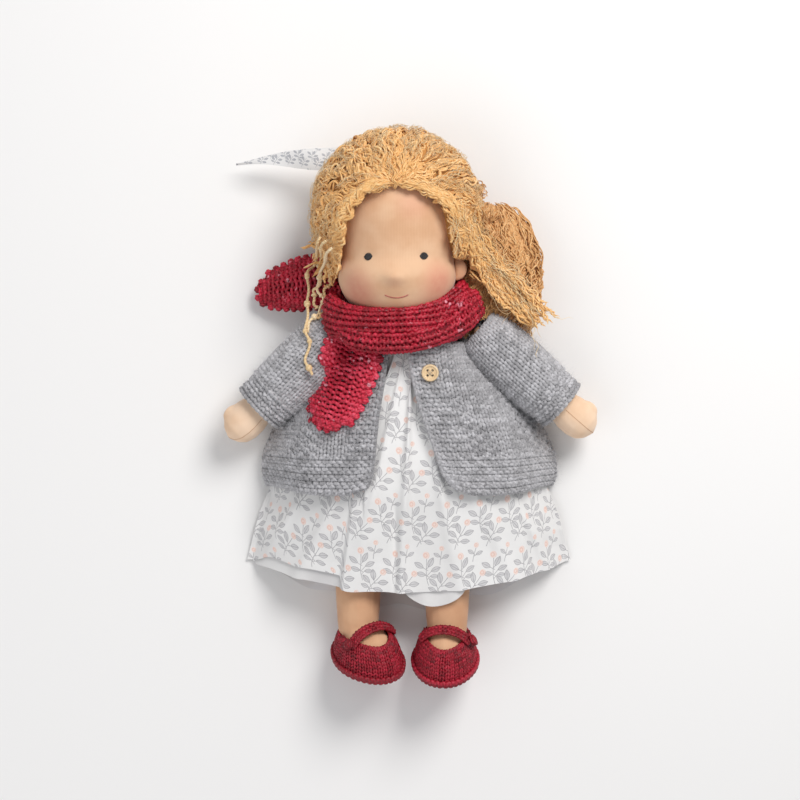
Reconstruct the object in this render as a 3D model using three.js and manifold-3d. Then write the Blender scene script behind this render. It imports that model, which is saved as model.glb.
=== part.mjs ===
// A stuffed cloth doll in the Waldorf manner, lying on its back.
// Millimetres. +Z points up, out of the face. +Y points to the top of the head.
// Left and right are the doll's own: its left side lies towards +X.
import * as THREE from "three";
import { mergeVertices } from "three/addons/utils/BufferGeometryUtils.js";
import Module from "manifold-3d";

const wasm = await Module();
wasm.setup();

// Clearances between pieces.
const touch_gap = 0.4;
const turn_gap = 0.5;
const cut_overrun = 4;
const merge_distance = 0.0005;

// The shift that brings the middle of the outline to the origin.
const outline_shift_x = 2.9;
const outline_shift_y = -1.1;

// Where the body and the head lie.
const body_axis_x = -4;
const head_axis_x = -12.6;
const head_axis_z = 48;
const shoulder_y = 47;

// Head: a wool ball tied by an eye line, with a neck below it.
const head_radius = 41.5;
const head_length = 136;
const neck_bottom_y = 49;
const nose_radius = 4.2;
const nose_y = 90.5;
const nose_rise = 2.2;
const eye_radius = 2.6;
const eye_rise = 0.9;
const eye_half_spacing = 19.4;
const eye_y = 105;
const mouth_y = 77;
const mouth_half_width = 8;
const mouth_drop = 1.6;
const mouth_thread_radius = 0.55;
const ear_height = 17;
const ear_reach = 9;
const ear_thickness = 6;
const ear_y = 98.5;

// Torso.
const torso_length = 130;
const torso_half_width = 43;
const torso_depth = 53;
const torso_back_z = 5.2;

// Arms and the stitching that holds them.
const arm_length = 99;
const arm_radius = 14.6;
const shoulder_half_spacing = 58;
const shoulder_z = 32;
const arm_spread_deg = 46.5;
const arm_left_spread_deg = 49;
const arm_fall_deg = 5;
const thumb_radius = 4.6;
const stitching_thickness = 2.6;

// Sleeves.
const sleeve_radius = 21;
const sleeve_length = 68;
const sleeve_inner_radius = arm_radius + touch_gap;
const arm_ball_radius = sleeve_inner_radius - stitching_thickness - turn_gap * 2;
const cuff_radius = 18.6;
const cuff_length = 13;

// Legs.
const leg_radius = 16.4;
const hip_axis_x = -8.5;
const hip_drop = 12.4;
const hip_z = 22;
const hip_half_spacing = 32;
const ankle_drop = 71;
const sole_drop = 14;

// Shoes, each with a toe that points up and out.
const shoe_length = 62;
const shoe_half_width = 22.4;
const shoe_height = 31;
const shoe_heel_reach = 18;
const shoe_wall = 2.8;
const sole_thickness = 4;
const sole_rim = 1.3;
const shoe_opening_half_length = 28;
const shoe_opening_half_width = 15.5;
const shoe_opening_y = 4;
const shoe_opening_height = 15;
const strap_width = 7;
const strap_thickness = 2.6;
const strap_y = 19;
const strap_foot_height = 19;
const shoe_button_radius = 4.4;
const shoe_button_thickness = 2.6;
const shoe_button_stem_radius = 1.5;
const buttonhole_half_width = 2.2;
const foot_lean_deg = 27;
const foot_right_yaw_deg = 33;
const foot_left_yaw_deg = 6;

// Dress of printed cotton, gathered at the neck.
const cotton_thickness = 1.4;
const pleat_height = 2.4;
const pleats = 11;
const dress_top_y = 43;
const skirt_hem_y = -131;
const skirt_front_bow = 20;
const skirt_back_hem_y = -146;
const skirt_back_bow = 35;
const skirt_front_rise = 58.8;
const skirt_hem_half_width = 118;
const neckband_radius = 20;
const neckband_width = 3.4;

// Cardigan of mohair knit.
const knit_thickness = 3;
const cardigan_rim = 6;
const cardigan_top_y = 50;
const cardigan_hem_y = -60.5;
const cardigan_hem_half_width = 107;
const button_radius = 6;
const button_thickness = 3;
const button_hole_radius = 0.9;
const button_hole_spacing = 3.4;
const button_thread_radius = 0.55;
const button_x = 10.6;
const button_y = 24.6;

// Scarf.
const scarf_width = 30;
const scarf_thickness = 15;
const scarf_tail_width = 30;
const scarf_tail_thickness = 5;
const scallop_radius = 3.4;

// Hair, worked in loops of curly yarn, and the ribbon tied in it.
const hair_half_width = 60;
const hair_half_length = 60;
const hair_half_depth = 50;
const hair_sink = 3;
const hair_centre_y = 138;
const hair_nape_y = 84;
const face_opening_half_width = 43;
const hairline_y = 152;
const hair_mass_half_width = 33;
const hair_mass_half_length = 54;
const hair_mass_depth = 40;
const hair_lock_width = 9;
const hair_lock_thickness = 4;
const ribbon_width = 16;
const ribbon_thickness = 1.2;

// How many steps the round forms take.
const around_head = 30;
const around_limb = 16;
const around_body = 22;

const up = new THREE.Vector3(0, 0, 1);
const along_y = new THREE.Vector3(0, 1, 0);
const along_x = new THREE.Vector3(1, 0, 0);

// A geometry as a solid, with its faces out.
function solid(geometry) {
  const bare = new THREE.BufferGeometry();
  const source = geometry.index ? geometry.toNonIndexed() : geometry;
  bare.setAttribute("position", source.getAttribute("position").clone());
  const merged = mergeVertices(bare, merge_distance);
  const kept = [];
  for (let i = 0; i < merged.index.count; i += 3) {
    const [a, b, c] = merged.index.array.slice(i, i + 3);
    if (a !== b && b !== c && a !== c) kept.push(a, b, c);
  }
  const build = (corners) =>
    new wasm.Manifold(
      new wasm.Mesh({
        numProp: 3,
        vertProperties: merged.attributes.position.array,
        triVerts: new Uint32Array(corners),
      }),
    );
  const made = build(kept);
  if (made.volume() > 0) return made;
  return build(kept.reverse());
}

// A value read off evenly spaced shares.
function shareAt(shares, t) {
  const place = THREE.MathUtils.clamp(t, 0, 1) * (shares.length - 1);
  const before = Math.min(Math.floor(place), shares.length - 2);
  return THREE.MathUtils.lerp(shares[before], shares[before + 1], place - before);
}

// A closed form from rings of points that lie one after the other.
function skinned(rings, loops) {
  const across = rings[0].length;
  const corners = [];
  const faces = [];
  rings.forEach((ring) => ring.forEach((p) => corners.push(p.x, p.y, p.z)));
  const last = loops ? rings.length : rings.length - 1;
  for (let i = 0; i < last; i += 1) {
    const next = (i + 1) % rings.length;
    for (let j = 0; j < across; j += 1) {
      const k = (j + 1) % across;
      faces.push(i * across + j, next * across + j, next * across + k);
      faces.push(i * across + j, next * across + k, i * across + k);
    }
  }
  if (!loops) {
    [0, rings.length - 1].forEach((end) => {
      const centre = new THREE.Vector3();
      rings[end].forEach((p) => centre.add(p));
      centre.divideScalar(across);
      const tip = corners.length / 3;
      corners.push(centre.x, centre.y, centre.z);
      for (let j = 0; j < across; j += 1) {
        const k = (j + 1) % across;
        if (end === 0) faces.push(tip, end * across + j, end * across + k);
        else faces.push(tip, end * across + k, end * across + j);
      }
    });
  }
  const geometry = new THREE.BufferGeometry();
  geometry.setAttribute("position", new THREE.Float32BufferAttribute(corners, 3));
  geometry.setIndex(faces);
  return solid(geometry);
}

// A roll of oval section that follows a curve, with one side kept towards a given way.
function roll(curve, steps, loops, halfWide, halfThick, wideWay, sides) {
  const rings = [];
  const count = loops ? steps : steps + 1;
  for (let i = 0; i < count; i += 1) {
    const t = i / steps;
    const centre = curve.getPointAt(t);
    const tangent = curve.getTangentAt(t);
    const way = typeof wideWay === "function" ? wideWay(t) : wideWay;
    const thick = new THREE.Vector3().crossVectors(tangent, way).normalize();
    const wide = new THREE.Vector3().crossVectors(thick, tangent).normalize();
    const ring = [];
    for (let j = 0; j < sides; j += 1) {
      const a = (j / sides) * Math.PI * 2;
      ring.push(
        centre
          .clone()
          .addScaledVector(wide, halfWide(t) * Math.cos(a))
          .addScaledVector(thick, halfThick(t) * Math.sin(a)),
      );
    }
    rings.push(ring);
  }
  return skinned(rings, loops);
}

// A sheet between a lower and an upper height over a patch of the plan.
function sheet(columns, rows, place, low, high) {
  const rings = [];
  for (let i = 0; i <= columns; i += 1) {
    const ring = [];
    for (let j = 0; j <= rows; j += 1) {
      const [x, y] = place(i / columns, j / rows);
      ring.push(new THREE.Vector3(x, y, high(x, y, i / columns, j / rows)));
    }
    for (let j = rows; j >= 0; j -= 1) {
      const [x, y] = place(i / columns, j / rows);
      ring.push(new THREE.Vector3(x, y, low(x, y, i / columns, j / rows)));
    }
    rings.push(ring);
  }
  const across = rings[0].length;
  const corners = [];
  const faces = [];
  rings.forEach((ring) => ring.forEach((p) => corners.push(p.x, p.y, p.z)));
  for (let i = 0; i < columns; i += 1) {
    for (let j = 0; j < across; j += 1) {
      const k = (j + 1) % across;
      const here = i * across;
      const next = here + across;
      faces.push(here + j, next + j, next + k, here + j, next + k, here + k);
    }
  }
  const closing = columns * across;
  for (let j = 0; j < rows; j += 1) {
    const k = across - 1 - j;
    faces.push(j, j + 1, k - 1, j, k - 1, k);
    faces.push(closing + j + 1, closing + j, closing + k, closing + j + 1, closing + k, closing + k - 1);
  }
  const geometry = new THREE.BufferGeometry();
  geometry.setAttribute("position", new THREE.Float32BufferAttribute(corners, 3));
  geometry.setIndex(faces);
  return solid(geometry);
}

// A turned form from shares of its length and radius, smoothed between them.
function turned(lengthShares, radiusShares, length, radius, steps, around, grow) {
  const marks = lengthShares.map((s, i) => new THREE.Vector2(radiusShares[i] * radius, s * length));
  const smooth = new THREE.SplineCurve(marks).getPoints(steps);
  const first = smooth[0].y;
  const last = smooth[smooth.length - 1].y;
  const profile = smooth.map((p) => {
    const end = p.y <= first ? -grow : 0;
    const top = p.y >= last ? grow : 0;
    return new THREE.Vector2(Math.max(p.x, 0) + grow, p.y + end + top);
  });
  profile.unshift(new THREE.Vector2(0, profile[0].y));
  profile.push(new THREE.Vector2(0, profile[profile.length - 1].y));
  return new THREE.LatheGeometry(profile, around);
}

function boxAt(wide, long, tall, x, y, z) {
  return new THREE.BoxGeometry(wide, long, tall).translate(x, y, z);
}

function ballAt(radius, centre, around, rows) {
  return solid(new THREE.SphereGeometry(radius, around, rows).translate(centre.x, centre.y, centre.z));
}

// Head.
const head_length_shares = [0, 0.05, 0.1, 0.16, 0.22, 0.31, 0.4, 0.475, 0.6, 0.7, 0.8, 0.9, 0.97, 1];
const head_radius_shares = [0.39, 0.4, 0.47, 0.72, 0.89, 1, 0.98, 0.965, 1.01, 0.99, 0.88, 0.66, 0.36, 0.05];
function headForm(grow) {
  const turnedHead = turned(
    head_length_shares,
    head_radius_shares,
    head_length,
    head_radius,
    17,
    around_head,
    grow,
  );
  turnedHead.translate(head_axis_x, neck_bottom_y, head_axis_z);
  return solid(turnedHead);
}
function headRadiusAt(y) {
  const t = (y - neck_bottom_y) / head_length;
  let i = 0;
  while (i < head_length_shares.length - 2 && head_length_shares[i + 1] < t) i += 1;
  const span = head_length_shares[i + 1] - head_length_shares[i];
  const part = (t - head_length_shares[i]) / span;
  return head_radius * THREE.MathUtils.lerp(head_radius_shares[i], head_radius_shares[i + 1], part);
}
const nose_geometry = new THREE.SphereGeometry(nose_radius, 12, 8);
nose_geometry.translate(head_axis_x, nose_y, head_axis_z + headRadiusAt(nose_y) + nose_rise - nose_radius);

// Body core.
const torso_width_shares = [0.84, 0.95, 0.98, 1, 0.97, 0.93, 0.9, 0.87, 0.8, 0.66, 0.4];
const torso_depth_shares = [0.72, 0.9, 0.98, 1, 1, 1, 0.98, 0.97, 0.92, 0.8, 0.52];
const torso_top_y = neck_bottom_y + touch_gap * 6;
const hip_y = torso_top_y - torso_length - hip_drop;
function torsoForm(grow) {
  const rings = [];
  const rows = 9;
  for (let i = 0; i <= rows; i += 1) {
    const t = i / rows;
    const halfWide = torso_half_width * shareAt(torso_width_shares, t) + grow;
    const halfDeep = (torso_depth / 2) * shareAt(torso_depth_shares, t) + grow;
    const y = torso_top_y - torso_length + torso_length * t + (i === 0 ? -grow : 0) + (i === rows ? grow : 0);
    const ring = [];
    for (let j = 0; j < around_body; j += 1) {
      const a = (j / around_body) * Math.PI * 2;
      ring.push(
        new THREE.Vector3(
          body_axis_x + halfWide * Math.cos(a),
          y,
          torso_back_z + torso_depth / 2 + halfDeep * Math.sin(a),
        ),
      );
    }
    rings.push(ring);
  }
  return skinned(rings, false);
}

// Shoulders and arms. Each arm is turned about its own length and then laid along its line.
const sides = [
  { name: "left", way: 1, spread: arm_left_spread_deg, yaw: foot_left_yaw_deg },
  { name: "right", way: -1, spread: arm_spread_deg, yaw: foot_right_yaw_deg },
];
function shoulderAt(side) {
  return new THREE.Vector3(body_axis_x + side.way * shoulder_half_spacing, shoulder_y, shoulder_z);
}
function armDirection(side) {
  const spread = THREE.MathUtils.degToRad(side.spread);
  const fall = THREE.MathUtils.degToRad(arm_fall_deg);
  return new THREE.Vector3(
    side.way * Math.sin(spread) * Math.cos(fall),
    -Math.cos(spread) * Math.cos(fall),
    -Math.sin(fall),
  );
}
function laidAlong(geometry, side) {
  const turn = new THREE.Quaternion().setFromUnitVectors(along_y, armDirection(side));
  const at = shoulderAt(side);
  return geometry.applyQuaternion(turn).translate(at.x, at.y, at.z);
}
const arm_length_shares = [0.07, 0.2, 0.35, 0.52, 0.66, 0.72, 0.8, 0.9, 0.96, 1];
const arm_radius_shares = [0.86, 0.98, 1, 0.95, 0.84, 0.83, 0.95, 0.88, 0.62, 0.06];
function armForm(side, grow) {
  const barrel = turned(
    arm_length_shares,
    arm_radius_shares,
    arm_length,
    arm_radius,
    11,
    around_limb,
    grow,
  );
  const shape = solid(laidAlong(barrel, side));
  return shape.add(ballAt(arm_ball_radius + grow, shoulderAt(side), 12, 6));
}
function thumbForm(side) {
  const thumb = new THREE.SphereGeometry(thumb_radius, 8, 6);
  thumb.scale(1, 1.5, 1);
  thumb.translate(side.way * -arm_radius * 0.72, arm_length * 0.86, arm_radius * 0.3);
  return solid(laidAlong(thumb, side));
}
function seatBall(side) {
  return ballAt(sleeve_radius + turn_gap * 1.6, shoulderAt(side), 20, 14);
}
// The sleeve is one shell: a ball at the shoulder that runs into a tube with a ribbed cuff.
function sleeveForm(side, grow) {
  const outer = [];
  const inner = [];
  const back_deg = 128;
  const ball_steps = 5;
  for (let i = 0; i <= ball_steps; i += 1) {
    const a = THREE.MathUtils.degToRad(back_deg * (1 - i / ball_steps) + 90 * (i / ball_steps));
    outer.push(new THREE.Vector2((sleeve_radius + grow) * Math.sin(a), (sleeve_radius + grow) * Math.cos(a)));
    inner.push(new THREE.Vector2(sleeve_inner_radius * Math.sin(a), sleeve_inner_radius * Math.cos(a)));
  }
  const swell_shares = [1, 1.02, 1.03, 1, 0.95];
  swell_shares.forEach((share, i) => {
    const y = ((sleeve_length - cuff_length) * (i + 1)) / swell_shares.length;
    outer.push(new THREE.Vector2(sleeve_radius * share + grow, y));
  });
  outer.push(new THREE.Vector2(cuff_radius + grow, sleeve_length - cuff_length + touch_gap));
  outer.push(new THREE.Vector2(cuff_radius + grow, sleeve_length - cuff_length / 2));
  outer.push(new THREE.Vector2(cuff_radius + grow, sleeve_length + grow));
  inner.push(new THREE.Vector2(sleeve_inner_radius, sleeve_length - cuff_length));
  inner.push(new THREE.Vector2(sleeve_inner_radius, sleeve_length + grow));
  const hollow = [...outer, ...inner.reverse(), outer[0].clone()];
  const filled = [new THREE.Vector2(0, outer[0].y), ...outer, new THREE.Vector2(0, sleeve_length + grow)];
  const profile = grow ? filled : hollow;
  return solid(laidAlong(new THREE.LatheGeometry(profile, around_limb + 4), side));
}
// The sleeve as it stands once the arm is swung forward by an angle.
function swungSleeve(side, grow, angle_deg) {
  const at = shoulderAt(side);
  const swing = new THREE.Matrix4()
    .makeTranslation(at.x, at.y, at.z)
    .multiply(new THREE.Matrix4().makeRotationX(THREE.MathUtils.degToRad(-angle_deg)))
    .multiply(new THREE.Matrix4().makeTranslation(-at.x, -at.y, -at.z));
  return sleeveForm(side, grow).transform(swing.toArray());
}
const armhole_relief_deg = [12, 24, 36];
const scarf_relief_deg = [50, 63, 77, 90];
// The stitching is a zone of a sphere inside the sleeve, round the arm's top.
function stitchingForm(side) {
  const low = arm_ball_radius + turn_gap;
  const high = sleeve_inner_radius - turn_gap;
  const zone_deg = [26, 54];
  const profile = [];
  const steps = 2;
  for (let i = 0; i <= steps; i += 1) {
    const a = THREE.MathUtils.degToRad(THREE.MathUtils.lerp(zone_deg[0], zone_deg[1], i / steps));
    profile.push(new THREE.Vector2(high * Math.sin(a), high * Math.cos(a)));
  }
  for (let i = steps; i >= 0; i -= 1) {
    const a = THREE.MathUtils.degToRad(THREE.MathUtils.lerp(zone_deg[0], zone_deg[1], i / steps));
    profile.push(new THREE.Vector2(low * Math.sin(a), low * Math.cos(a)));
  }
  profile.push(profile[0].clone());
  const ring = new THREE.LatheGeometry(profile, around_limb);
  const turn = new THREE.Quaternion().setFromUnitVectors(along_y, along_x.clone().multiplyScalar(-side.way));
  const at = shoulderAt(side);
  return solid(ring.applyQuaternion(turn).translate(at.x, at.y, at.z));
}

// Feet and shoes share one frame: across the foot, towards the toe, and up off the sole.
function footFrame(side) {
  const lean = THREE.MathUtils.degToRad(foot_lean_deg);
  const yaw = THREE.MathUtils.degToRad(side.yaw);
  const toe = new THREE.Vector3(0, -Math.sin(lean), Math.cos(lean));
  const sole = new THREE.Vector3(0, -Math.cos(lean), -Math.sin(lean));
  const turn = new THREE.Quaternion().setFromAxisAngle(sole, side.way < 0 ? -yaw : yaw);
  toe.applyQuaternion(turn);
  const instep = sole.clone().negate();
  const across = new THREE.Vector3().crossVectors(toe, instep);
  const hip = hipAt(side);
  const ankle = new THREE.Vector3(hip.x, hip.y - ankle_drop, hip.z);
  const origin = ankle.addScaledVector(sole, sole_drop);
  return new THREE.Matrix4().makeBasis(across, toe, instep).setPosition(origin);
}
function hipAt(side) {
  return new THREE.Vector3(hip_axis_x + side.way * hip_half_spacing, hip_y, hip_z);
}
// The shoe's half width and its height, from its heel at 0 to its toe at 1.
function shoeWideAt(t, grow) {
  return (shoe_half_width + grow) * (0.9 + 0.1 * Math.sin(t * Math.PI));
}
function shoeTallAt(t, grow) {
  return (shoe_height + grow) * THREE.MathUtils.lerp(1, 0.86, t);
}
// A foot-shaped form: a ball drawn out to a heel and a toe, with a flat bottom.
function footShape(grow, columns, rows) {
  const shape = new THREE.SphereGeometry(1, columns, rows);
  shape.rotateX(Math.PI / 2);
  shape.rotateX(Math.PI / 2);
  const p = shape.attributes.position;
  for (let i = 0; i < p.count; i += 1) {
    const t = (p.getY(i) + 1) / 2;
    const wide = shoeWideAt(t, grow);
    const tall = shoeTallAt(t, grow);
    const z = p.getZ(i);
    const flat = Math.sign(p.getX(i)) * Math.abs(p.getX(i)) ** 0.9;
    p.setXYZ(
      i,
      flat * wide,
      shoe_length / 2 - shoe_heel_reach + p.getY(i) * (shoe_length / 2 + grow),
      z > 0 ? z * tall : z * (sole_thickness + grow),
    );
  }
  return shape;
}
// Where the strap's lower end lies on the side of the shoe, and how far that side leans back there.
function strapEnd() {
  const along = (strap_y + shoe_heel_reach) / (shoe_length / 2) - 1;
  const t = (along + 1) / 2;
  const wide = shoeWideAt(t, 0);
  const tall = shoeTallAt(t, 0);
  const rise = strap_foot_height / tall;
  const x = wide * Math.sqrt(1 - along * along - rise * rise) ** 0.9;
  return { x, tilt: Math.atan2(strap_foot_height / (tall * tall), x / (wide * wide)) };
}
function inFoot(geometry, side) {
  return solid(geometry.applyMatrix4(footFrame(side)));
}
const big = shoe_length * 2;
function aboveSole(side, from) {
  return inFoot(boxAt(big, big, big, 0, 0, from + big / 2), side);
}
function belowSole(side, to) {
  return inFoot(boxAt(big, big, big, 0, 0, to - big / 2), side);
}
// The calf as it stands once the leg is swung up by an angle.
const lap_relief_deg = [0, 18, 36, 54, 72, 90];
function swungCalf(side, grow, angle_deg) {
  const at = hipAt(side);
  const calf = new THREE.CylinderGeometry(leg_radius + grow, leg_radius + grow, ankle_drop, around_limb);
  calf.translate(0, -ankle_drop / 2, 0).rotateX(THREE.MathUtils.degToRad(-angle_deg));
  return solid(calf.translate(at.x, at.y, at.z));
}
const leg_length_shares = [0, 0.18, 0.42, 0.66, 0.85, 1];
const leg_radius_shares = [0.98, 1, 1, 0.96, 0.9, 0.84];
function legForm(side, grow) {
  const calf = turned(leg_length_shares, leg_radius_shares, ankle_drop, leg_radius, 6, around_limb, grow);
  const at = hipAt(side);
  calf.rotateZ(Math.PI).translate(at.x, at.y, at.z);
  const foot = inFoot(footShape(grow - shoe_wall - touch_gap, 12, 8), side);
  return solid(calf)
    .add(ballAt(leg_radius + grow, at, around_limb, 8))
    .add(foot.intersect(aboveSole(side, touch_gap - grow)));
}

// Cloth over the body. Each layer is an arch over the plan, low at its sides and high along the body.
const dress_width_shares = [0.4, 0.53, 0.69, 0.76, 0.825, 0.855, 0.92, 0.96, 1];
const dress_rise_shares = [0.96, 1, 1, 1, 1, 0.95, 0.86, 0.78, 0.72];
function skirtShareAt(y) {
  return (dress_top_y - y) / (dress_top_y - skirt_hem_y);
}
function dressHalfWidth(y) {
  return skirt_hem_half_width * shareAt(dress_width_shares, skirtShareAt(y));
}
function dressRise(y) {
  return skirt_front_rise * shareAt(dress_rise_shares, skirtShareAt(y));
}
const arch_power = 3;
function arch(x, halfWidth, rim, rise) {
  const u = Math.min(Math.abs(x - body_axis_x) / halfWidth, 1);
  return rim + (rise - rim) * (1 - u ** arch_power);
}
const back_under = knit_thickness + touch_gap;
const dress_rim = back_under + cotton_thickness + touch_gap;
const back_drop_y = cardigan_hem_y - cut_overrun * 5;
function dressBackLow(x, y) {
  const t = THREE.MathUtils.clamp((back_drop_y - y) / (cut_overrun * 3), 0, 1);
  return THREE.MathUtils.lerp(back_under, 0, t);
}
function pleatAt(x, y) {
  const u = (x - body_axis_x) / dressHalfWidth(y);
  const fade = THREE.MathUtils.clamp((1 - Math.abs(u)) * 5, 0, 1);
  const open = THREE.MathUtils.clamp(0.45 + skirtShareAt(y), 0, 1);
  return pleat_height * fade * open * 0.5 * (1 + Math.cos(u * pleats * Math.PI));
}
function dressLow(x, y) {
  const rim = dressBackLow(x, y + cut_overrun * 2) + cotton_thickness + touch_gap;
  return arch(x, dressHalfWidth(y), rim, dressRise(y)) + pleatAt(x, y);
}
const dress_front = sheet(
  44,
  6,
  (u, v) => {
    const y = THREE.MathUtils.lerp(skirt_hem_y, dress_top_y, v);
    const s = u * 2 - 1;
    return [body_axis_x + s * dressHalfWidth(y), y + skirt_front_bow * s * s * (1 - v) ** 2];
  },
  (x, y) => dressLow(x, y),
  (x, y) => dressLow(x, y) + cotton_thickness,
);
const dress_back = sheet(
  8,
  9,
  (u, v) => {
    const y = THREE.MathUtils.lerp(skirt_back_hem_y, dress_top_y, v);
    const s = u * 2 - 1;
    const bow = skirt_back_bow * Math.abs(s) ** 1.6 * (1 - v) ** 2;
    return [body_axis_x + s * dressHalfWidth(y + bow), y + bow];
  },
  (x, y) => dressBackLow(x, y),
  (x, y) => dressBackLow(x, y) + cotton_thickness,
);

// Cardigan.
const cardigan_width_shares = [0.47, 0.53, 0.645, 0.78, 0.86, 0.93, 0.985, 1, 0.99];
function cardiganHalfWidth(y) {
  const t = (cardigan_top_y - y) / (cardigan_top_y - cardigan_hem_y);
  return cardigan_hem_half_width * shareAt(cardigan_width_shares, t);
}
const front_rise = skirt_front_rise + pleat_height + cotton_thickness + touch_gap * 3;
const front_rim = knit_thickness + touch_gap;
function cardiganLow(x, y) {
  const own = arch(x, cardiganHalfWidth(y), front_rim, front_rise);
  const half = dressHalfWidth(y);
  const inside = Math.abs(x - body_axis_x) < half + cardigan_rim / 3;
  const shell = inside ? dress_rim + cotton_thickness + touch_gap * 2 : front_rim;
  return Math.max(own, shell) + touch_gap * Math.abs(x - body_axis_x) / half;
}
function cardiganTop(x, y) {
  return cardiganLow(x, y) + knit_thickness;
}
const cardigan_back = sheet(
  6,
  8,
  (u, v) => {
    const y = THREE.MathUtils.lerp(cardigan_hem_y, cardigan_top_y, v);
    return [body_axis_x + (u * 2 - 1) * cardiganHalfWidth(y), y];
  },
  () => 0,
  () => knit_thickness,
);
const front_edge_shares = {
  left: [0, 0.01, 0.03, 0.06, 0.1, 0.145, 0.185, 0.225, 0.31],
  right: [-0.14, -0.155, -0.17, -0.19, -0.21, -0.222, -0.232, -0.245, -0.28],
};
function frontPanel(side, grow) {
  return sheet(
    10,
    7,
    (u, v) => {
      const y = THREE.MathUtils.lerp(cardigan_hem_y, cardigan_top_y - cut_overrun, v);
      const edge = shareAt(front_edge_shares[side.name], 1 - v) * cardigan_hem_half_width;
      const rim = side.way * cardiganHalfWidth(y);
      return [body_axis_x + THREE.MathUtils.lerp(edge, rim, u), y];
    },
    (x, y) => cardiganLow(x, y) - grow,
    (x, y) => cardiganTop(x, y) + grow,
  );
}

// Scarf: one turn and a half round the neck and two hanging ends.
const wrap_x_shares = [0, -0.72, -1, -0.74, 0, 0.74, 1, 0.72];
const wrap_y_shares = [0.22, 0.26, 0.52, 0.72, 0.85, 0.8, 0.66, 0.24];
const wrap_z_shares = [1, 0.66, 0, -0.72, -0.98, -0.72, 0, 0.66];
const wrap_half_width = 46;
const wrap_half_depth = 28;
const wrap_low_y = 53;
const wrap_climb = 20;
function wrapCurve() {
  const marks = wrap_x_shares.map(
    (share, i) =>
      new THREE.Vector3(
        head_axis_x + wrap_half_width * share,
        wrap_low_y + wrap_climb * wrap_y_shares[i],
        head_axis_z + wrap_half_depth * wrap_z_shares[i],
      ),
  );
  return new THREE.CatmullRomCurve3(marks, true);
}
function wrapForm(grow) {
  return roll(
    wrapCurve(),
    24,
    true,
    () => scarf_width * 0.37 + grow,
    (t) => scarf_thickness / 2 + grow - scarf_thickness * 0.12 * Math.sin(t * Math.PI) ** 2,
    along_y,
    8,
  );
}
const fold_x_shares = [-0.95, -0.55, 0, 0.5, 0.95, 1.28];
const fold_y_shares = [0.3, -0.2, -0.3, -0.08, 0.4, 0.92];
const fold_z_shares = [0.42, 0.86, 1.06, 0.92, 0.55, 0.05];
function foldForm(grow) {
  const marks = fold_x_shares.map(
    (share, i) =>
      new THREE.Vector3(
        head_axis_x + wrap_half_width * share,
        wrap_low_y + wrap_climb * fold_y_shares[i],
        head_axis_z + wrap_half_depth * fold_z_shares[i],
      ),
  );
  const ends = (t) => 0.45 + 0.55 * Math.min(1, Math.sin(t * Math.PI) * 2.2);
  return roll(
    new THREE.CatmullRomCurve3(marks),
    12,
    false,
    (t) => scarf_width * 0.28 * ends(t) + grow,
    (t) => scarf_thickness * 0.4 * ends(t) + grow,
    along_y,
    8,
  );
}
// A hanging end is a strip on the plan that lies on what is under it.
function strip(start, end, startWidth, endWidth, steps, low, thickness) {
  const way = new THREE.Vector2(end[0] - start[0], end[1] - start[1]);
  const square = new THREE.Vector2(-way.y, way.x).normalize();
  return sheet(
    steps,
    3,
    (u, v) => {
      const width = THREE.MathUtils.lerp(startWidth, endWidth, u);
      return [
        start[0] + way.x * u + square.x * width * (v - 0.5),
        start[1] + way.y * u + square.y * width * (v - 0.5),
      ];
    },
    (x, y, u, v) => low(x, y, u, v),
    (x, y, u, v) => low(x, y, u, v) + thickness * (0.55 + 0.45 * Math.sin(v * Math.PI)),
  );
}
const tail_front_start = [-44, 52];
const tail_front_end = [-66, -12];
const tail_side_start = [-54, 86];
const tail_side_end = [-108, 84];
const tail_side_high = 41;
const tail_side_low = 7;
function restTop(x, y) {
  let top = cardiganTop(x, y);
  sides.forEach((side) => {
    const at = shoulderAt(side);
    const flat = (x - at.x) ** 2 + (y - at.y) ** 2;
    const ball = (sleeve_radius + turn_gap) ** 2;
    if (flat < ball) top = Math.max(top, at.z + Math.sqrt(ball - flat));
  });
  return top;
}
const scallops = 5;
function scallopRow(end, start, low, width) {
  const way = new THREE.Vector2(end[0] - start[0], end[1] - start[1]).normalize();
  const square = new THREE.Vector2(-way.y, way.x);
  const forms = [];
  for (let i = 0; i < scallops; i += 1) {
    const s = (i / (scallops - 1) - 0.5) * (width - scallop_radius);
    const x = end[0] + square.x * s;
    const y = end[1] + square.y * s;
    const centre = new THREE.Vector3(x, y, low(x, y) + scallop_radius);
    forms.push(ballAt(scallop_radius, centre, 8, 4));
  }
  return forms;
}

// Hair.
const hair_centre = new THREE.Vector3(head_axis_x - touch_gap, hair_centre_y, hair_half_depth - hair_sink);
const lump_height = 2.6;
function lumpyBall(halfWidth, halfLength, halfDepth, centre, columns, rows, grow) {
  const shape = new THREE.SphereGeometry(1, columns, rows);
  const p = shape.attributes.position;
  for (let i = 0; i < p.count; i += 1) {
    const x = p.getX(i);
    const y = p.getY(i);
    const z = p.getZ(i);
    const lump = lump_height * Math.sin(x * 7 + z * 3) * Math.sin(y * 6 + z * 4) * (1 - y * y) + grow;
    p.setXYZ(i, x * (halfWidth + lump), y * (halfLength + lump), z * (halfDepth + lump));
  }
  return solid(shape.translate(centre.x, centre.y, centre.z));
}
const aside = hair_half_width * 4;
const floorBox = solid(boxAt(aside * 3, aside * 4, aside, 0, 0, -aside / 2));
function capForm(grow) {
  return lumpyBall(hair_half_width, hair_half_length, hair_half_depth, hair_centre, 20, 12, grow);
}
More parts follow.
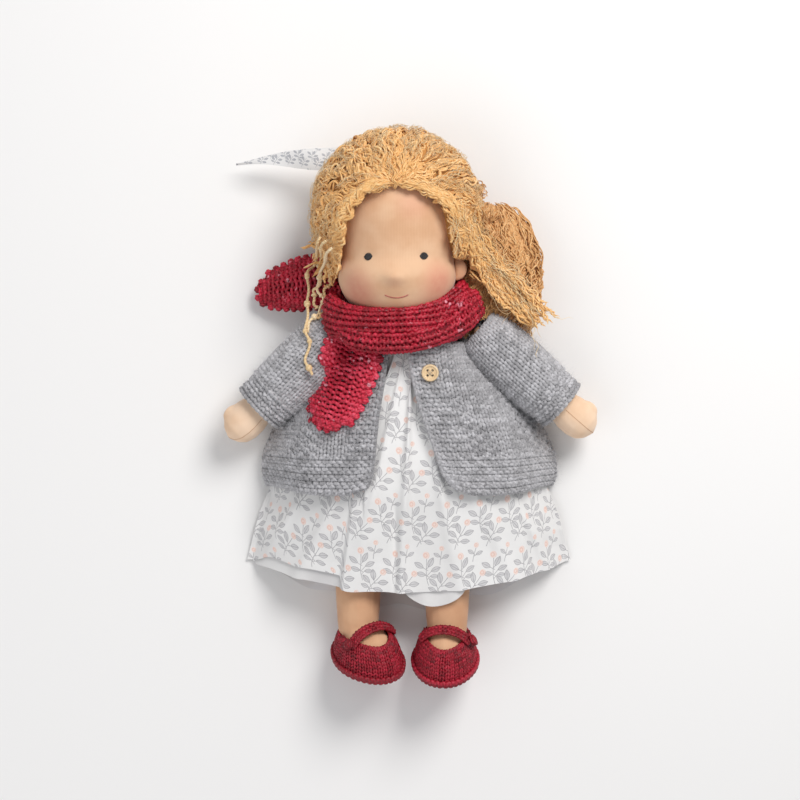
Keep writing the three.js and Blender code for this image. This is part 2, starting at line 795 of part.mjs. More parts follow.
function faceCutter() {
  const shape = new THREE.CylinderGeometry(face_opening_half_width, face_opening_half_width, aside, 32);
  shape.rotateX(Math.PI / 2);
  shape.scale(1, (hairline_y - hair_nape_y + cut_overrun) / face_opening_half_width, 1);
  shape.translate(head_axis_x, hair_nape_y - cut_overrun, head_axis_z - cut_overrun + aside / 2);
  return solid(shape);
}
function below(y) {
  return solid(boxAt(aside * 3, aside, aside, 0, y - aside / 2, 0));
}
const mass_centre = new THREE.Vector3(
  head_axis_x + hair_half_width + touch_gap * 20,
  hair_nape_y + hair_mass_half_length * 0.22,
  hair_mass_depth / 2,
);

// What lies in each place, cut by what it lies against.
const torso_whole = torsoForm(0);
const neck_socket = headForm(turn_gap);
let torso = torso_whole.subtract(neck_socket);
sides.forEach((side) => {
  torso = torso.subtract(seatBall(side));
  torso = torso.subtract(ballAt(leg_radius + turn_gap, hipAt(side), around_limb, 8));
  lap_relief_deg.forEach((angle) => {
    torso = torso.subtract(swungCalf(side, turn_gap, angle));
  });
});
const nose = solid(nose_geometry);
const head = headForm(0).add(nose);

const wrap_cut = wrapForm(touch_gap);
const torso_cut = torsoForm(touch_gap);
const cap_cut = capForm(touch_gap);

let dressFront = dress_front.subtract(torso_cut);
let dressBack = dress_back;
let cardiganBack = cardigan_back;
const fronts = {};
sides.forEach((side) => {
  dressFront = dressFront.subtract(seatBall(side)).subtract(sleeveForm(side, turn_gap));
  dressBack = dressBack.subtract(seatBall(side)).subtract(sleeveForm(side, turn_gap));
  cardiganBack = cardiganBack.subtract(seatBall(side)).subtract(sleeveForm(side, turn_gap));
});
dressFront = dressFront.subtract(neck_socket);
sides.forEach((side) => {
  fronts[side.name] = frontPanel(side, 0)
    .subtract(seatBall(side))
    .subtract(sleeveForm(side, turn_gap))
    .subtract(neck_socket)
    .subtract(torso_cut);
  armhole_relief_deg.forEach((angle) => {
    fronts[side.name] = fronts[side.name].subtract(swungSleeve(side, turn_gap, angle));
  });
});

const roof = (grow) =>
  sheet(
    16,
    6,
    (u, v) => {
      const y = THREE.MathUtils.lerp(dress_top_y - scarf_width, cardigan_top_y, v);
      return [body_axis_x + (u * 2 - 1) * cardiganHalfWidth(y), y];
    },
    () => -cut_overrun,
    (x, y) => cardiganTop(x, y) + grow,
  );
const shoulders_cut = roof(touch_gap);
let wrap = wrapForm(0).subtract(neck_socket).subtract(torso_cut).subtract(shoulders_cut).subtract(floorBox);
let fold = foldForm(0).subtract(wrap_cut).subtract(neck_socket).subtract(torso_cut).subtract(shoulders_cut);
sides.forEach((side) => {
  wrap = wrap.subtract(seatBall(side));
  scarf_relief_deg.forEach((angle) => {
    wrap = wrap.subtract(swungSleeve(side, turn_gap, angle));
  });
  fold = fold.subtract(seatBall(side));
});
const fold_cut = foldForm(touch_gap);

const frontTailLow = (x, y) => restTop(x, y) + touch_gap;
let tailFront = strip(
  tail_front_start,
  tail_front_end,
  scarf_tail_width,
  scarf_tail_width * 0.7,
  8,
  frontTailLow,
  scarf_tail_thickness,
);
scallopRow(tail_front_end, tail_front_start, frontTailLow, scarf_tail_width * 0.7).forEach((form) => {
  tailFront = tailFront.add(form);
});
const sideTailLow = (x) => {
  const t = THREE.MathUtils.clamp((tail_side_start[0] - x) / (tail_side_start[0] - tail_side_end[0]), 0, 1);
  return THREE.MathUtils.lerp(tail_side_high, tail_side_low, t ** 0.7);
};
let tailSide = strip(
  tail_side_start,
  tail_side_end,
  scarf_tail_width * 0.9,
  scarf_tail_width * 0.7,
  8,
  sideTailLow,
  scarf_tail_thickness,
);
scallopRow(tail_side_end, tail_side_start, sideTailLow, scarf_tail_width * 0.7).forEach((form) => {
  tailSide = tailSide.add(form);
});
tailSide = tailSide.subtract(cap_cut);
[wrap_cut, fold_cut, neck_socket, torso_cut, frontPanel(sides[1], touch_gap)].forEach((cutter) => {
  tailFront = tailFront.subtract(cutter);
  tailSide = tailSide.subtract(cutter);
});
sides.forEach((side) => {
  tailFront = tailFront.subtract(seatBall(side)).subtract(sleeveForm(side, turn_gap));
  tailSide = tailSide.subtract(seatBall(side)).subtract(sleeveForm(side, turn_gap));
});

function earForm(side, grow) {
  const ear = new THREE.SphereGeometry(1, 12, 8);
  ear.scale(ear_reach + grow, ear_height / 2 + grow, ear_thickness / 2 + grow);
  const out = side.way * (headRadiusAt(ear_y) - touch_gap);
  return solid(ear.translate(head_axis_x + out, ear_y, head_axis_z));
}
const cap = capForm(0)
  .subtract(headForm(touch_gap))
  .subtract(faceCutter())
  .subtract(below(hair_nape_y))
  .subtract(floorBox)
  .subtract(earForm(sides[0], touch_gap))
  .subtract(wrap_cut);
let mass = lumpyBall(
  hair_mass_half_width,
  hair_mass_half_length,
  hair_mass_depth / 2 + lump_height,
  mass_centre,
  14,
  9,
  0,
)
  .subtract(cap_cut)
  .subtract(floorBox)
  .subtract(wrap_cut)
  .subtract(fold_cut)
  .subtract(neck_socket)
  .subtract(torso_cut);
sides.forEach((side) => {
  mass = mass.subtract(sleeveForm(side, turn_gap)).subtract(seatBall(side));
});

// Materials.
function cloth(colour, roughness) {
  return new THREE.MeshStandardMaterial({ color: colour, roughness, metalness: 0 });
}
const skin = cloth(0xe9b98f, 0.85);
const yarn_hair = cloth(0xc99a4e, 0.9);
const wine_knit = cloth(0x7d1f2b, 0.92);
const crimson_knit = cloth(0xb3122f, 0.9);
const print_cotton = cloth(0xe9e6e0, 0.85);
const mohair = cloth(0xa9b7c2, 0.95);
const wood = cloth(0xd9b98a, 0.5);
const thread = cloth(0xe6dccb, 0.8);
const eye_thread = cloth(0x2b2b30, 0.7);
const lip_thread = cloth(0xb5534c, 0.8);

// The scene: the doll's body, with a group at each pivot.
const doll = new THREE.Group();
const headGroup = new THREE.Group();
headGroup.position.set(head_axis_x, neck_bottom_y, head_axis_z);
doll.add(headGroup);

function put(group, name, form, material) {
  const mesh = form.getMesh();
  const geometry = new THREE.BufferGeometry();
  const corners = new Float32Array(mesh.numVert * 3);
  for (let i = 0; i < mesh.numVert; i += 1) {
    corners.set(mesh.vertProperties.subarray(i * mesh.numProp, i * mesh.numProp + 3), i * 3);
  }
  geometry.setAttribute("position", new THREE.BufferAttribute(corners, 3));
  geometry.setIndex(new THREE.BufferAttribute(mesh.triVerts, 1));
  group.updateWorldMatrix(true, false);
  geometry.applyMatrix4(group.matrixWorld.clone().invert());
  geometry.computeVertexNormals();
  const piece = new THREE.Mesh(geometry, material);
  piece.name = name;
  group.add(piece);
  return piece;
}

put(doll, "torso", torso, skin);
put(headGroup, "head", head, skin);

// Eyes and mouth lie on the front of the head.
sides.forEach((side) => {
  const x = head_axis_x + side.way * eye_half_spacing;
  const r = headRadiusAt(eye_y);
  const z = head_axis_z + Math.sqrt(r * r - eye_half_spacing * eye_half_spacing);
  const dot = new THREE.SphereGeometry(1, 10, 6);
  dot.scale(eye_radius, eye_radius, eye_rise);
  const out = new THREE.Vector3(x - head_axis_x, 0, z - head_axis_z).normalize();
  dot.applyQuaternion(new THREE.Quaternion().setFromUnitVectors(up, out));
  dot.translate(x + out.x * eye_rise, eye_y, z + out.z * eye_rise);
  put(headGroup, "eye_" + side.name, solid(dot).subtract(headForm(touch_gap / 2)), eye_thread);

  if (side.way > 0) put(headGroup, "ear_" + side.name, earForm(side, 0).subtract(headForm(touch_gap)), skin);
});
const mouth_marks = [-1, -0.5, 0, 0.5, 1].map((share) => {
  const x = mouth_half_width * share;
  const y = mouth_y - mouth_drop * (1 - share * share);
  const r = headRadiusAt(y) + touch_gap / 2 + mouth_thread_radius * 1.3;
  return new THREE.Vector3(head_axis_x + x, y, head_axis_z + Math.sqrt(r * r - x * x));
});
const mouth = roll(
  new THREE.CatmullRomCurve3(mouth_marks),
  8,
  false,
  () => mouth_thread_radius,
  () => mouth_thread_radius,
  up,
  6,
);
put(headGroup, "mouth", mouth.subtract(headForm(touch_gap / 2)), lip_thread);

put(headGroup, "hair_cap", cap, yarn_hair);
put(headGroup, "hair_mass", mass, yarn_hair);

// Ribbon: its free end comes out from under the hair.
const ribbon_tip = [-128, 176];
const ribbon_root = [-50, 180];
const ribbon_low = 14;
const ribbon_high = 34;
const ribbon = strip(
  ribbon_tip,
  ribbon_root,
  ribbon_width * 0.4,
  ribbon_width,
  10,
  (x) => {
    const t = THREE.MathUtils.clamp((x - ribbon_tip[0]) / (ribbon_root[0] - ribbon_tip[0]), 0, 1);
    return THREE.MathUtils.lerp(ribbon_low, ribbon_high, t);
  },
  ribbon_thickness,
).subtract(cap_cut);
put(headGroup, "hair_ribbon", ribbon, print_cotton);

// Lock: a loose strand that falls from the head over the scarf.
const lock_marks = [
  [5.4, 99],
  [9.4, 84],
  [5.4, 66],
  [7.4, 50],
  [13.4, 36],
];
const lock_z_shares = [0.74, 0.8, 0.9, 0.98, 0.86];
const lock_height = shoulder_z + sleeve_radius + scarf_tail_thickness + hair_lock_width;
const lock_points = lock_marks.map(([beyond_wrap, y], i) => {
  const x = head_axis_x - wrap_half_width - beyond_wrap;
  return new THREE.Vector3(x, y, lock_height * lock_z_shares[i]);
});
let lock = roll(
  new THREE.CatmullRomCurve3(lock_points),
  16,
  false,
  () => hair_lock_width / 2,
  () => hair_lock_thickness / 2,
  along_x,
  8,
);
[cap_cut, wrap_cut, fold_cut, neck_socket].forEach((cutter) => {
  lock = lock.subtract(cutter);
});
put(headGroup, "hair_lock", lock, yarn_hair);

// Clothes.
const band_marks = [
  [0, 0],
  [neckband_radius, 0],
  [neckband_radius, neckband_width],
  [0, neckband_width],
].map(([r, h]) => new THREE.Vector2(r, h));
const band = new THREE.LatheGeometry(band_marks, around_head);
band.translate(head_axis_x, torso_top_y + touch_gap, head_axis_z);
const neckband = solid(band).subtract(neck_socket).subtract(torso_cut);
put(doll, "dress_neckband", neckband, print_cotton);
put(doll, "dress_front", dressFront, print_cotton);
put(doll, "dress_back", dressBack, print_cotton);
put(doll, "cardigan_back", cardiganBack, mohair);
put(doll, "cardigan_front_left", fronts.left, mohair);
put(doll, "cardigan_front_right", fronts.right, mohair);
put(doll, "scarf_wrap", wrap.subtract(neckbandCut()), wine_knit);
put(doll, "scarf_fold", fold, wine_knit);
put(doll, "scarf_tail_front", tailFront, wine_knit);
put(doll, "scarf_tail_side", tailSide, wine_knit);

function neckbandCut() {
  const ring = new THREE.CylinderGeometry(
    neckband_radius + touch_gap,
    neckband_radius + touch_gap,
    neckband_width + touch_gap * 2,
    around_head,
  );
  ring.translate(head_axis_x, torso_top_y + touch_gap + neckband_width / 2, head_axis_z);
  return solid(ring);
}

// Wooden button, with four holes and a cross of thread.
const button_z = cardiganTop(button_x - button_radius, button_y) + touch_gap;
const dish_shares = [0, 0.62, 0.74, 0.94, 1, 1, 0.8, 0];
const dish_height_shares = [0.78, 0.78, 1, 1, 0.75, 0.3, 0, 0];
const dish = new THREE.LatheGeometry(
  dish_shares.map((r, i) => new THREE.Vector2(r * button_radius, dish_height_shares[i] * button_thickness)),
  16,
);
dish.rotateX(Math.PI / 2);
let button = solid(dish.translate(button_x, button_y, button_z));
const button_top = button_z + button_thickness * dish_height_shares[0];
let threads = null;
for (let i = 0; i < 4; i += 1) {
  const a = (Math.PI / 2) * i + Math.PI / 4;
  const x = button_x + (Math.cos(a) * button_hole_spacing) / Math.SQRT2;
  const y = button_y + (Math.sin(a) * button_hole_spacing) / Math.SQRT2;
  const hole = new THREE.CylinderGeometry(button_hole_radius, button_hole_radius, button_thickness * 3, 8);
  hole.rotateX(Math.PI / 2).translate(x, y, button_z + button_thickness / 2);
  button = button.subtract(solid(hole));
  const rod_length = button_top - button_z + button_thread_radius * 2;
  const rod = new THREE.CylinderGeometry(button_thread_radius, button_thread_radius, rod_length, 6);
  rod.rotateX(Math.PI / 2).translate(x, y, button_z + touch_gap / 2 + rod_length / 2);
  threads = threads ? threads.add(solid(rod)) : solid(rod);
}
for (let i = 0; i < 2; i += 1) {
  const bar_length = button_hole_spacing * Math.SQRT2 + button_thread_radius;
  const bar = new THREE.CylinderGeometry(button_thread_radius, button_thread_radius, bar_length, 6);
  bar.rotateZ(Math.PI / 4 + (i * Math.PI) / 2);
  bar.translate(button_x, button_y, button_top + button_thread_radius * 2);
  threads = threads.add(solid(bar));
}
put(doll, "cardigan_button", button, wood);
put(doll, "button_thread", threads, thread);

// Arms, each in a group at its shoulder.
sides.forEach((side) => {
  const swing = new THREE.Group();
  swing.position.copy(shoulderAt(side));
  doll.add(swing);
  put(swing, "arm_stitching_" + side.name, stitchingForm(side), thread);
  const raise = new THREE.Group();
  swing.add(raise);
  put(raise, "arm_" + side.name, armForm(side, 0).add(thumbForm(side)), skin);
  put(raise, "sleeve_" + side.name, sleeveForm(side, 0), mohair);
});

// Legs, each in a group at its hip, with its shoe.
sides.forEach((side) => {
  const hip = new THREE.Group();
  hip.position.copy(hipAt(side));
  doll.add(hip);
  const leg = legForm(side, 0);
  put(hip, "leg_" + side.name, leg, skin);
  const leg_cut = legForm(side, touch_gap);
  const whole = inFoot(footShape(0, 16, 10), side);
  const opening = new THREE.CylinderGeometry(1, 1, big, 24);
  opening.rotateX(Math.PI / 2);
  opening.scale(shoe_opening_half_width, shoe_opening_half_length, 1);
  opening.translate(0, shoe_opening_y, shoe_opening_height + big / 2);
  const upper = whole
    .intersect(aboveSole(side, touch_gap))
    .subtract(leg_cut)
    .subtract(inFoot(opening, side));
  put(hip, "shoe_upper_" + side.name, upper, crimson_knit);
  const sole = inFoot(footShape(sole_rim, 16, 10), side)
    .intersect(belowSole(side, 0))
    .subtract(floorBox);
  put(hip, "shoe_sole_" + side.name, sole, crimson_knit);

  // Strap: a band that hugs the shoe over the instep, slotted at its free end for the button's stem.
  const band_zone = inFoot(
    boxAt(big, strap_width, big, 0, strap_y, strap_foot_height + big / 2),
    side,
  );
  const outward = -side.way;
  const end = strapEnd();
  const atStrapEnd = (geometry) => {
    geometry.rotateY(outward > 0 ? -end.tilt : Math.PI + end.tilt);
    return inFoot(geometry.translate(outward * end.x, strap_y, strap_foot_height), side);
  };
  const slot_depth = shoe_half_width / 2;
  const stem_run = shoe_button_stem_radius * 4;
  const slot = atStrapEnd(
    boxAt(slot_depth, buttonhole_half_width * 2, stem_run, strap_thickness, 0, touch_gap),
  );
  // The tips either side of the slot thin out, so that the strap lifts off from under the button.
  const knob_reach = strap_thickness + touch_gap * 2;
  const knob_edge = knob_reach * Math.cos(end.tilt) - shoe_button_radius * Math.sin(end.tilt);
  const ramp_x = end.x + knob_edge - touch_gap;
  const ramp = inFoot(
    boxAt(big, strap_width * 2, big, outward * (ramp_x + big / 2), strap_y, strap_foot_height - big / 2)
      .translate(0, 0, knob_reach * Math.sin(end.tilt) + shoe_button_radius * Math.cos(end.tilt) + touch_gap),
    side,
  );
  const strap = inFoot(footShape(strap_thickness + touch_gap, 16, 10), side)
    .subtract(inFoot(footShape(touch_gap, 16, 10), side))
    .intersect(band_zone)
    .subtract(slot)
    .subtract(ramp)
    .subtract(leg_cut);
  put(hip, "shoe_strap_" + side.name, strap, crimson_knit);

  const knob = new THREE.CylinderGeometry(shoe_button_radius, shoe_button_radius, shoe_button_thickness, 20);
  knob.rotateZ(Math.PI / 2);
  knob.translate(knob_reach + shoe_button_thickness / 2, 0, 0);
  const stem_length = strap_thickness * 2;
  const stem = new THREE.CylinderGeometry(shoe_button_stem_radius, shoe_button_stem_radius, stem_length, 10);
  stem.rotateZ(Math.PI / 2);
  stem.translate(knob_reach - stem_length / 2 + touch_gap, 0, 0);
  const knobForm = atStrapEnd(knob)
    .add(atStrapEnd(stem))
    .subtract(inFoot(footShape(touch_gap, 16, 10), side));
  put(hip, "shoe_button_" + side.name, knobForm, crimson_knit);
});

// The pieces were laid out about the body; the doll is now brought over the origin.
doll.position.set(outline_shift_x, outline_shift_y, 0);

export default doll;
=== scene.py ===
"""Looks of a stuffed cloth doll that lies on its back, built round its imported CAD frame."""
import math

import bpy
import numpy as np
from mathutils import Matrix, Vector
from mathutils.bvhtree import BVHTree

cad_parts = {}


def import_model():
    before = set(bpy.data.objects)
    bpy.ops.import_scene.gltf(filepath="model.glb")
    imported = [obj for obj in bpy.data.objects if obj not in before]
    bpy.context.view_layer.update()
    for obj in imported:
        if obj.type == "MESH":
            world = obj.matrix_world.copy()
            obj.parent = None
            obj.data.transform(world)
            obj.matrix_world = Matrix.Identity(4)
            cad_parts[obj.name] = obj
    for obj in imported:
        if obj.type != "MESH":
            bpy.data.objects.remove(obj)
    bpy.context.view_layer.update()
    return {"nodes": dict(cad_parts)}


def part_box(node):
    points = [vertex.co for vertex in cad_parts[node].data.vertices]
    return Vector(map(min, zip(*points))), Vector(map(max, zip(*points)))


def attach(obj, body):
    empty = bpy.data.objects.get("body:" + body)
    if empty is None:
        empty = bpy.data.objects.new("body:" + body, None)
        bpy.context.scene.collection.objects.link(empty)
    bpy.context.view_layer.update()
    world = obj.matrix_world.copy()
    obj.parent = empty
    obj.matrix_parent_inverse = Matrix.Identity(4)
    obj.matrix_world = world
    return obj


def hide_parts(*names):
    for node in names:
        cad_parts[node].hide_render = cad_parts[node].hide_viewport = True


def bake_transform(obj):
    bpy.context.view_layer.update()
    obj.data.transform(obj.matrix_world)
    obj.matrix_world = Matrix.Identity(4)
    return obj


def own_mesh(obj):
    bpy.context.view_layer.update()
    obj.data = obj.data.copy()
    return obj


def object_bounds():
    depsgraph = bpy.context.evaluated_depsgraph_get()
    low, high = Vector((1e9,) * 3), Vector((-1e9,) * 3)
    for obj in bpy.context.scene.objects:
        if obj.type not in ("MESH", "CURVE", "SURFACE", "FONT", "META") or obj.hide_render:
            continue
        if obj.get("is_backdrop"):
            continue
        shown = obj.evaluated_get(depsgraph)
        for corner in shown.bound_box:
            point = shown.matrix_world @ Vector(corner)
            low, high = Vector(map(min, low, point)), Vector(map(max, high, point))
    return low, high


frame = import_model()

# Lengths are millimetres in the doll's own layout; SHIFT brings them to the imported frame.
SHIFT = np.array((2.9, -1.1, 0.0))
MM = 0.001
TAU = math.tau
rng = np.random.default_rng(7)

BODY_X = -4.0
HEAD_X = -12.6
HEAD_Z = 48.0
NECK_Y = 49.0
SHOULDERS = {"left": (54.0, 47.0, 32.0), "right": (-62.0, 47.0, 32.0)}
WAYS = {"left": 1.0, "right": -1.0}
SPREAD = {"left": 49.0, "right": 46.5}
HIPS = {"left": (23.5, -91.0, 22.0), "right": (-40.5, -91.0, 22.0)}
YAW = {"left": 6.0, "right": 33.0}


def world(points):
    return (np.asarray(points, float) + SHIFT) * MM


def mark(*point):
    """One of the doll's own places as Blender takes it."""
    return tuple(world(point))


def unit(v):
    return v / np.maximum(np.linalg.norm(v, axis=-1, keepdims=True), 1e-9)


def shares(table, t):
    t = np.clip(t, 0, 1) * (len(table) - 1)
    return np.interp(t, np.arange(len(table)), table)


def circle(count):
    """Even angles round a circle."""
    return np.linspace(0, TAU, count, endpoint=False)


def evened(line, reach, mode="edge"):
    """The line's running mean over reach points each way."""
    return np.convolve(np.pad(line, reach, mode=mode), np.ones(2 * reach + 1) / (2 * reach + 1), "valid")


def smooth(t):
    t = np.clip(t, 0, 1)
    return t * t * (3 - 2 * t)


def wander(x, seed, count=5):
    """A smooth random wave of about unit height."""
    r = np.random.default_rng(seed)
    out = 0
    for i in range(count):
        out = out + r.normal() * np.sin(x * (0.7 + i * 0.83) + r.uniform(0, TAU)) / (1 + i * 0.5)
    return out / 1.6


# Meshes.
def part(v, quads=None, tris=None, mat=0, tone=None, yarn=None, flat=None):
    n = len(v)
    return {
        "v": np.asarray(v, float),
        "q": np.zeros((0, 4), int) if quads is None else np.asarray(quads, int),
        "t": np.zeros((0, 3), int) if tris is None else np.asarray(tris, int),
        "mat": mat,
        "tone": np.full(n, 0.5) if tone is None else np.asarray(tone, float),
        "yarn": np.zeros((n, 3)) if yarn is None else np.asarray(yarn, float),
        "flat": np.zeros((n, 3)) if flat is None else np.asarray(flat, float),
    }


def compact(p):
    used = np.zeros(len(p["v"]), bool)
    used[p["q"].ravel()] = True
    used[p["t"].ravel()] = True
    index = np.cumsum(used) - 1
    out = dict(p)
    out["q"], out["t"] = index[p["q"]], index[p["t"]]
    for key in ("v", "tone", "yarn", "flat"):
        out[key] = p[key][used]
    return out


def make(name, parts, materials, normals=None):
    parts = parts if isinstance(parts, list) else [parts]
    v = np.concatenate([p["v"] for p in parts])
    starts = np.cumsum([0] + [len(p["v"]) for p in parts])
    quads = np.concatenate([p["q"] + s for p, s in zip(parts, starts)])
    tris = np.concatenate([p["t"] + s for p, s in zip(parts, starts)])
    mats = np.concatenate(
        [np.full(len(p["q"]), p["mat"]) for p in parts] + [np.full(len(p["t"]), p["mat"]) for p in parts]
    )
    mesh = bpy.data.meshes.new(name)
    mesh.vertices.add(len(v))
    mesh.vertices.foreach_set("co", world(v).astype(np.float32).ravel())
    corners = np.concatenate([quads.ravel(), tris.ravel()]).astype(np.int32)
    mesh.loops.add(len(corners))
    mesh.loops.foreach_set("vertex_index", corners)
    first = np.concatenate([np.arange(len(quads)) * 4, len(quads) * 4 + np.arange(len(tris)) * 3])
    mesh.polygons.add(len(first))
    mesh.polygons.foreach_set("loop_start", first.astype(np.int32))
    mesh.polygons.foreach_set("material_index", mats.astype(np.int32))
    mesh.polygons.foreach_set("use_smooth", np.ones(len(first), bool))
    mesh.update(calc_edges=True)
    vectors = "FLOAT_VECTOR", "vector"
    for key, (kind, field) in (("tone", ("FLOAT", "value")), ("yarn", vectors), ("flat", vectors)):
        values = np.concatenate([p[key] for p in parts]).astype(np.float32)
        if np.ptp(values) > 0:
            mesh.attributes.new(key, kind, "POINT").data.foreach_set(field, values.ravel())
    for m in materials if isinstance(materials, (list, tuple)) else [materials]:
        mesh.materials.append(m)
    if normals is not None:
        mesh.normals_split_custom_set_from_vertices(normals.tolist())
    obj = bpy.data.objects.new(name, mesh)
    bpy.context.scene.collection.objects.link(obj)
    return obj


def settle(obj, body, node):
    """The piece rides on the body and stands for the node, which is hidden."""
    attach(obj, body)
    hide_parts(node)


def lattice(n, m, closed_n=False, closed_m=False, flip=False):
    """Quads of an n by m lattice of points."""
    i = np.arange(n if closed_n else n - 1)
    j = np.arange(m if closed_m else m - 1)
    a, b = np.meshgrid(i, j, indexing="ij")
    a2, b2 = (a + 1) % n, (b + 1) % m
    q = np.stack([a * m + b, a2 * m + b, a2 * m + b2, a * m + b2], -1).reshape(-1, 4)
    return q[:, ::-1] if flip else q


def grid(g, closed_n=False, closed_m=False, flip=False, **more):
    n, m = g.shape[:2]
    return part(g.reshape(-1, 3), lattice(n, m, closed_n, closed_m, flip), **more)


def lattice_normals(g, closed=False):
    across = np.roll(g, -1, 0) - np.roll(g, 1, 0) if closed else np.gradient(g, axis=0)
    return unit(np.cross(across, np.gradient(g, axis=1)))


def tube(paths, radius, sides, normal=None, keep=None, mat=0, tone=None, closed=False):
    """Round yarn along paths of shape (rows, points, 3)."""
    paths = np.asarray(paths, float)
    rows, count = paths.shape[:2]
    if closed:
        tangent = unit(np.roll(paths, -1, 1) - np.roll(paths, 1, 1))
    else:
        tangent = unit(np.gradient(paths, axis=1))
    if normal is None:
        normal = np.empty_like(paths)
        start = np.where(np.abs(tangent[:, 0, 2:3]) < 0.8, np.array([[0, 0, 1.0]]), np.array([[1.0, 0, 0]]))
        for i in range(count):
            start = unit(start - (start * tangent[:, i]).sum(-1, keepdims=True) * tangent[:, i])
            normal[:, i] = start
    side = unit(np.cross(tangent, normal))
    upward = np.cross(side, tangent)
    r = np.broadcast_to(np.asarray(radius, float), (rows, count)).copy()
    if not closed:
        r[:, 0] *= 0.12
        r[:, -1] *= 0.12
    a = np.arange(sides) / sides * TAU
    ring = side[:, :, None] * np.cos(a)[:, None] + upward[:, :, None] * np.sin(a)[:, None]
    v = paths[:, :, None] + ring * r[:, :, None, None]
    one = lattice(count, sides, closed, True)
    quads = (one[None] + (np.arange(rows) * count * sides)[:, None, None]).reshape(-1, 4)
    if keep is not None:
        alive = np.repeat(keep.reshape(-1), sides)
        quads = quads[alive[quads].all(1)]
    along = np.concatenate(
        [np.zeros((rows, 1)), np.cumsum(np.linalg.norm(np.diff(paths, axis=1), axis=-1), 1)], 1
    )
    yarn = np.empty((rows, count, sides, 3))
    yarn[..., 0] = np.cos(a)
    yarn[..., 1] = np.sin(a)
    yarn[..., 2] = along[:, :, None]
    if tone is None:
        tone = rng.uniform(0, 1, (rows, 1))
    tones = np.repeat(np.broadcast_to(tone, (rows, count)).reshape(-1), sides)
    p = part(v.reshape(-1, 3), quads, mat=mat, tone=tones, yarn=yarn.reshape(-1, 3))
    return compact(p) if keep is not None else p


class Surf:
    """A surface sampled on a lattice, with normals, read at any place from 0 to 1."""

    def __init__(self, g, closed_u=False, out=None):
        self.g, self.closed = g, closed_u
        n = lattice_normals(g, closed_u)
        if out is not None and (n * out).sum() < 0:
            n = -n
        self.n = n

    def at(self, u, v):
        nu, nv = self.g.shape[:2]
        a = np.mod(u, 1) * nu if self.closed else np.clip(u, 0, 1) * (nu - 1)
        b = np.clip(v, 0, 1) * (nv - 1)
        i = np.floor(a).astype(int)
        i = np.mod(i, nu) if self.closed else np.minimum(i, nu - 2)
        j = np.minimum(np.floor(b).astype(int), nv - 2)
        k = (i + 1) % nu
        s, t = (a - np.floor(a) if self.closed else a - i)[..., None], (b - j)[..., None]

        def mix(x):
            return (x[i, j] * (1 - s) + x[k, j] * s) * (1 - t) + (x[i, j + 1] * (1 - s) + x[k, j + 1] * s) * t

        return mix(self.g), unit(mix(self.n))


def knit(surf, stitches, rows, face, yarn=0.85, depth=0.55, lean=0.19, reach=0.66, steps=10, sides=5,
         keep=None, seed=1, mat=0, relief=None):
    """Rows of knitted loops on a surface.

    face(row, place) is -1 where the V side shows and 1 where the bumps show.
    """
    r = np.random.default_rng(seed)
    count = stitches * steps + (0 if surf.closed else 1)
    t = np.arange(count) / steps * TAU
    row = np.arange(rows)[:, None]
    wob = r.normal(0, 0.05, (rows, stitches + 1))
    each = np.minimum((t / TAU).astype(int), stitches)
    slack = wob[:, each]
    u = (t / TAU + lean * np.sin(2 * t)) / stitches + r.uniform(-0.2, 0.2, (rows, 1)) / stitches * 0.3
    v = (row + 0.5 + (reach + slack) * np.cos(t)) / rows
    sign = face(row + 0 * t, t / TAU + 0 * row)
    z = depth * (1 + slack) * sign * np.cos(2 * t)
    if relief is not None:
        z = z + relief(row + 0 * t, t / TAU + 0 * row)
    p, n = surf.at(u + 0 * v, v)
    paths = p + n * z[..., None]
    paths += r.normal(0, 0.05, paths.shape)
    alive = None if keep is None else keep(paths)
    of_row, of_stitch = r.uniform(0, 1, (rows, 1)), r.uniform(0, 1, (rows, stitches + 1))
    tone = np.repeat(of_row, count, 1) * 0.3 + 0.7 * of_stitch[:, each]
    thick = yarn * (1 + 0.6 * slack)
    return tube(paths, thick, sides, normal=n, keep=alive, tone=tone, closed=surf.closed, mat=mat)


def ribs(high, low):
    """A face for knit whose rows take turns."""
    return lambda row, place: np.where(np.floor(row) % 2 > 0.5, high, low)


def plain_face(side):
    """A face for knit that is the same all over."""
    return lambda row, place: np.full(np.broadcast(row, place).shape, side)


def fuzz(surf, count, length, width=0.05, stand=0.5, seed=3, mat=1, keep=None, spread=1.0, steps=4):
    """Fine fibres that stand off a surface, each a thin bent blade."""
    r = np.random.default_rng(seed)
    u, v = r.uniform(0, 1, count), r.uniform(0.01, 0.99, count)
    p, n = surf.at(u, v)
    if keep is not None:
        ok = keep(p)
        p, n = p[ok], n[ok]
    count = len(p)
    aim = unit(r.normal(size=(count, 3)) * spread + n * stand)
    bend = unit(r.normal(size=(count, 3)))
    s = np.linspace(0, 1, steps)
    reach = (length * r.uniform(0.4, 1.3, count))[:, None, None]
    path = p[:, None] + reach * (aim[:, None] * s[:, None] + bend[:, None] * (s[:, None] ** 2) * 0.5)
    path[..., 2] = np.maximum(path[..., 2], 0.3)
    side = unit(np.cross(aim, r.normal(size=(count, 3))))[:, None] * width * (1 - 0.7 * s)[None, :, None]
    v2 = np.stack([path - side, path + side], 2)
    one = lattice(steps, 2)
    quads = (one[None] + (np.arange(count) * steps * 2)[:, None, None]).reshape(-1, 4)
    return part(v2.reshape(-1, 3), quads, mat=mat, tone=np.repeat(r.uniform(0, 1, count), steps * 2))


def pressed(pieces, sunk=-3.3, rest=0.2, free=5.0):
    """The pieces with their lowest part, from sunk up to free, squeezed to lie on the floor."""
    for p in pieces:
        z = p["v"][:, 2:]
        z = np.where(z < free, rest + (z - sunk) * (free - rest) / (free - sunk), z)
        p["v"] = np.concatenate([p["v"][:, :2], z], 1)
    return pieces


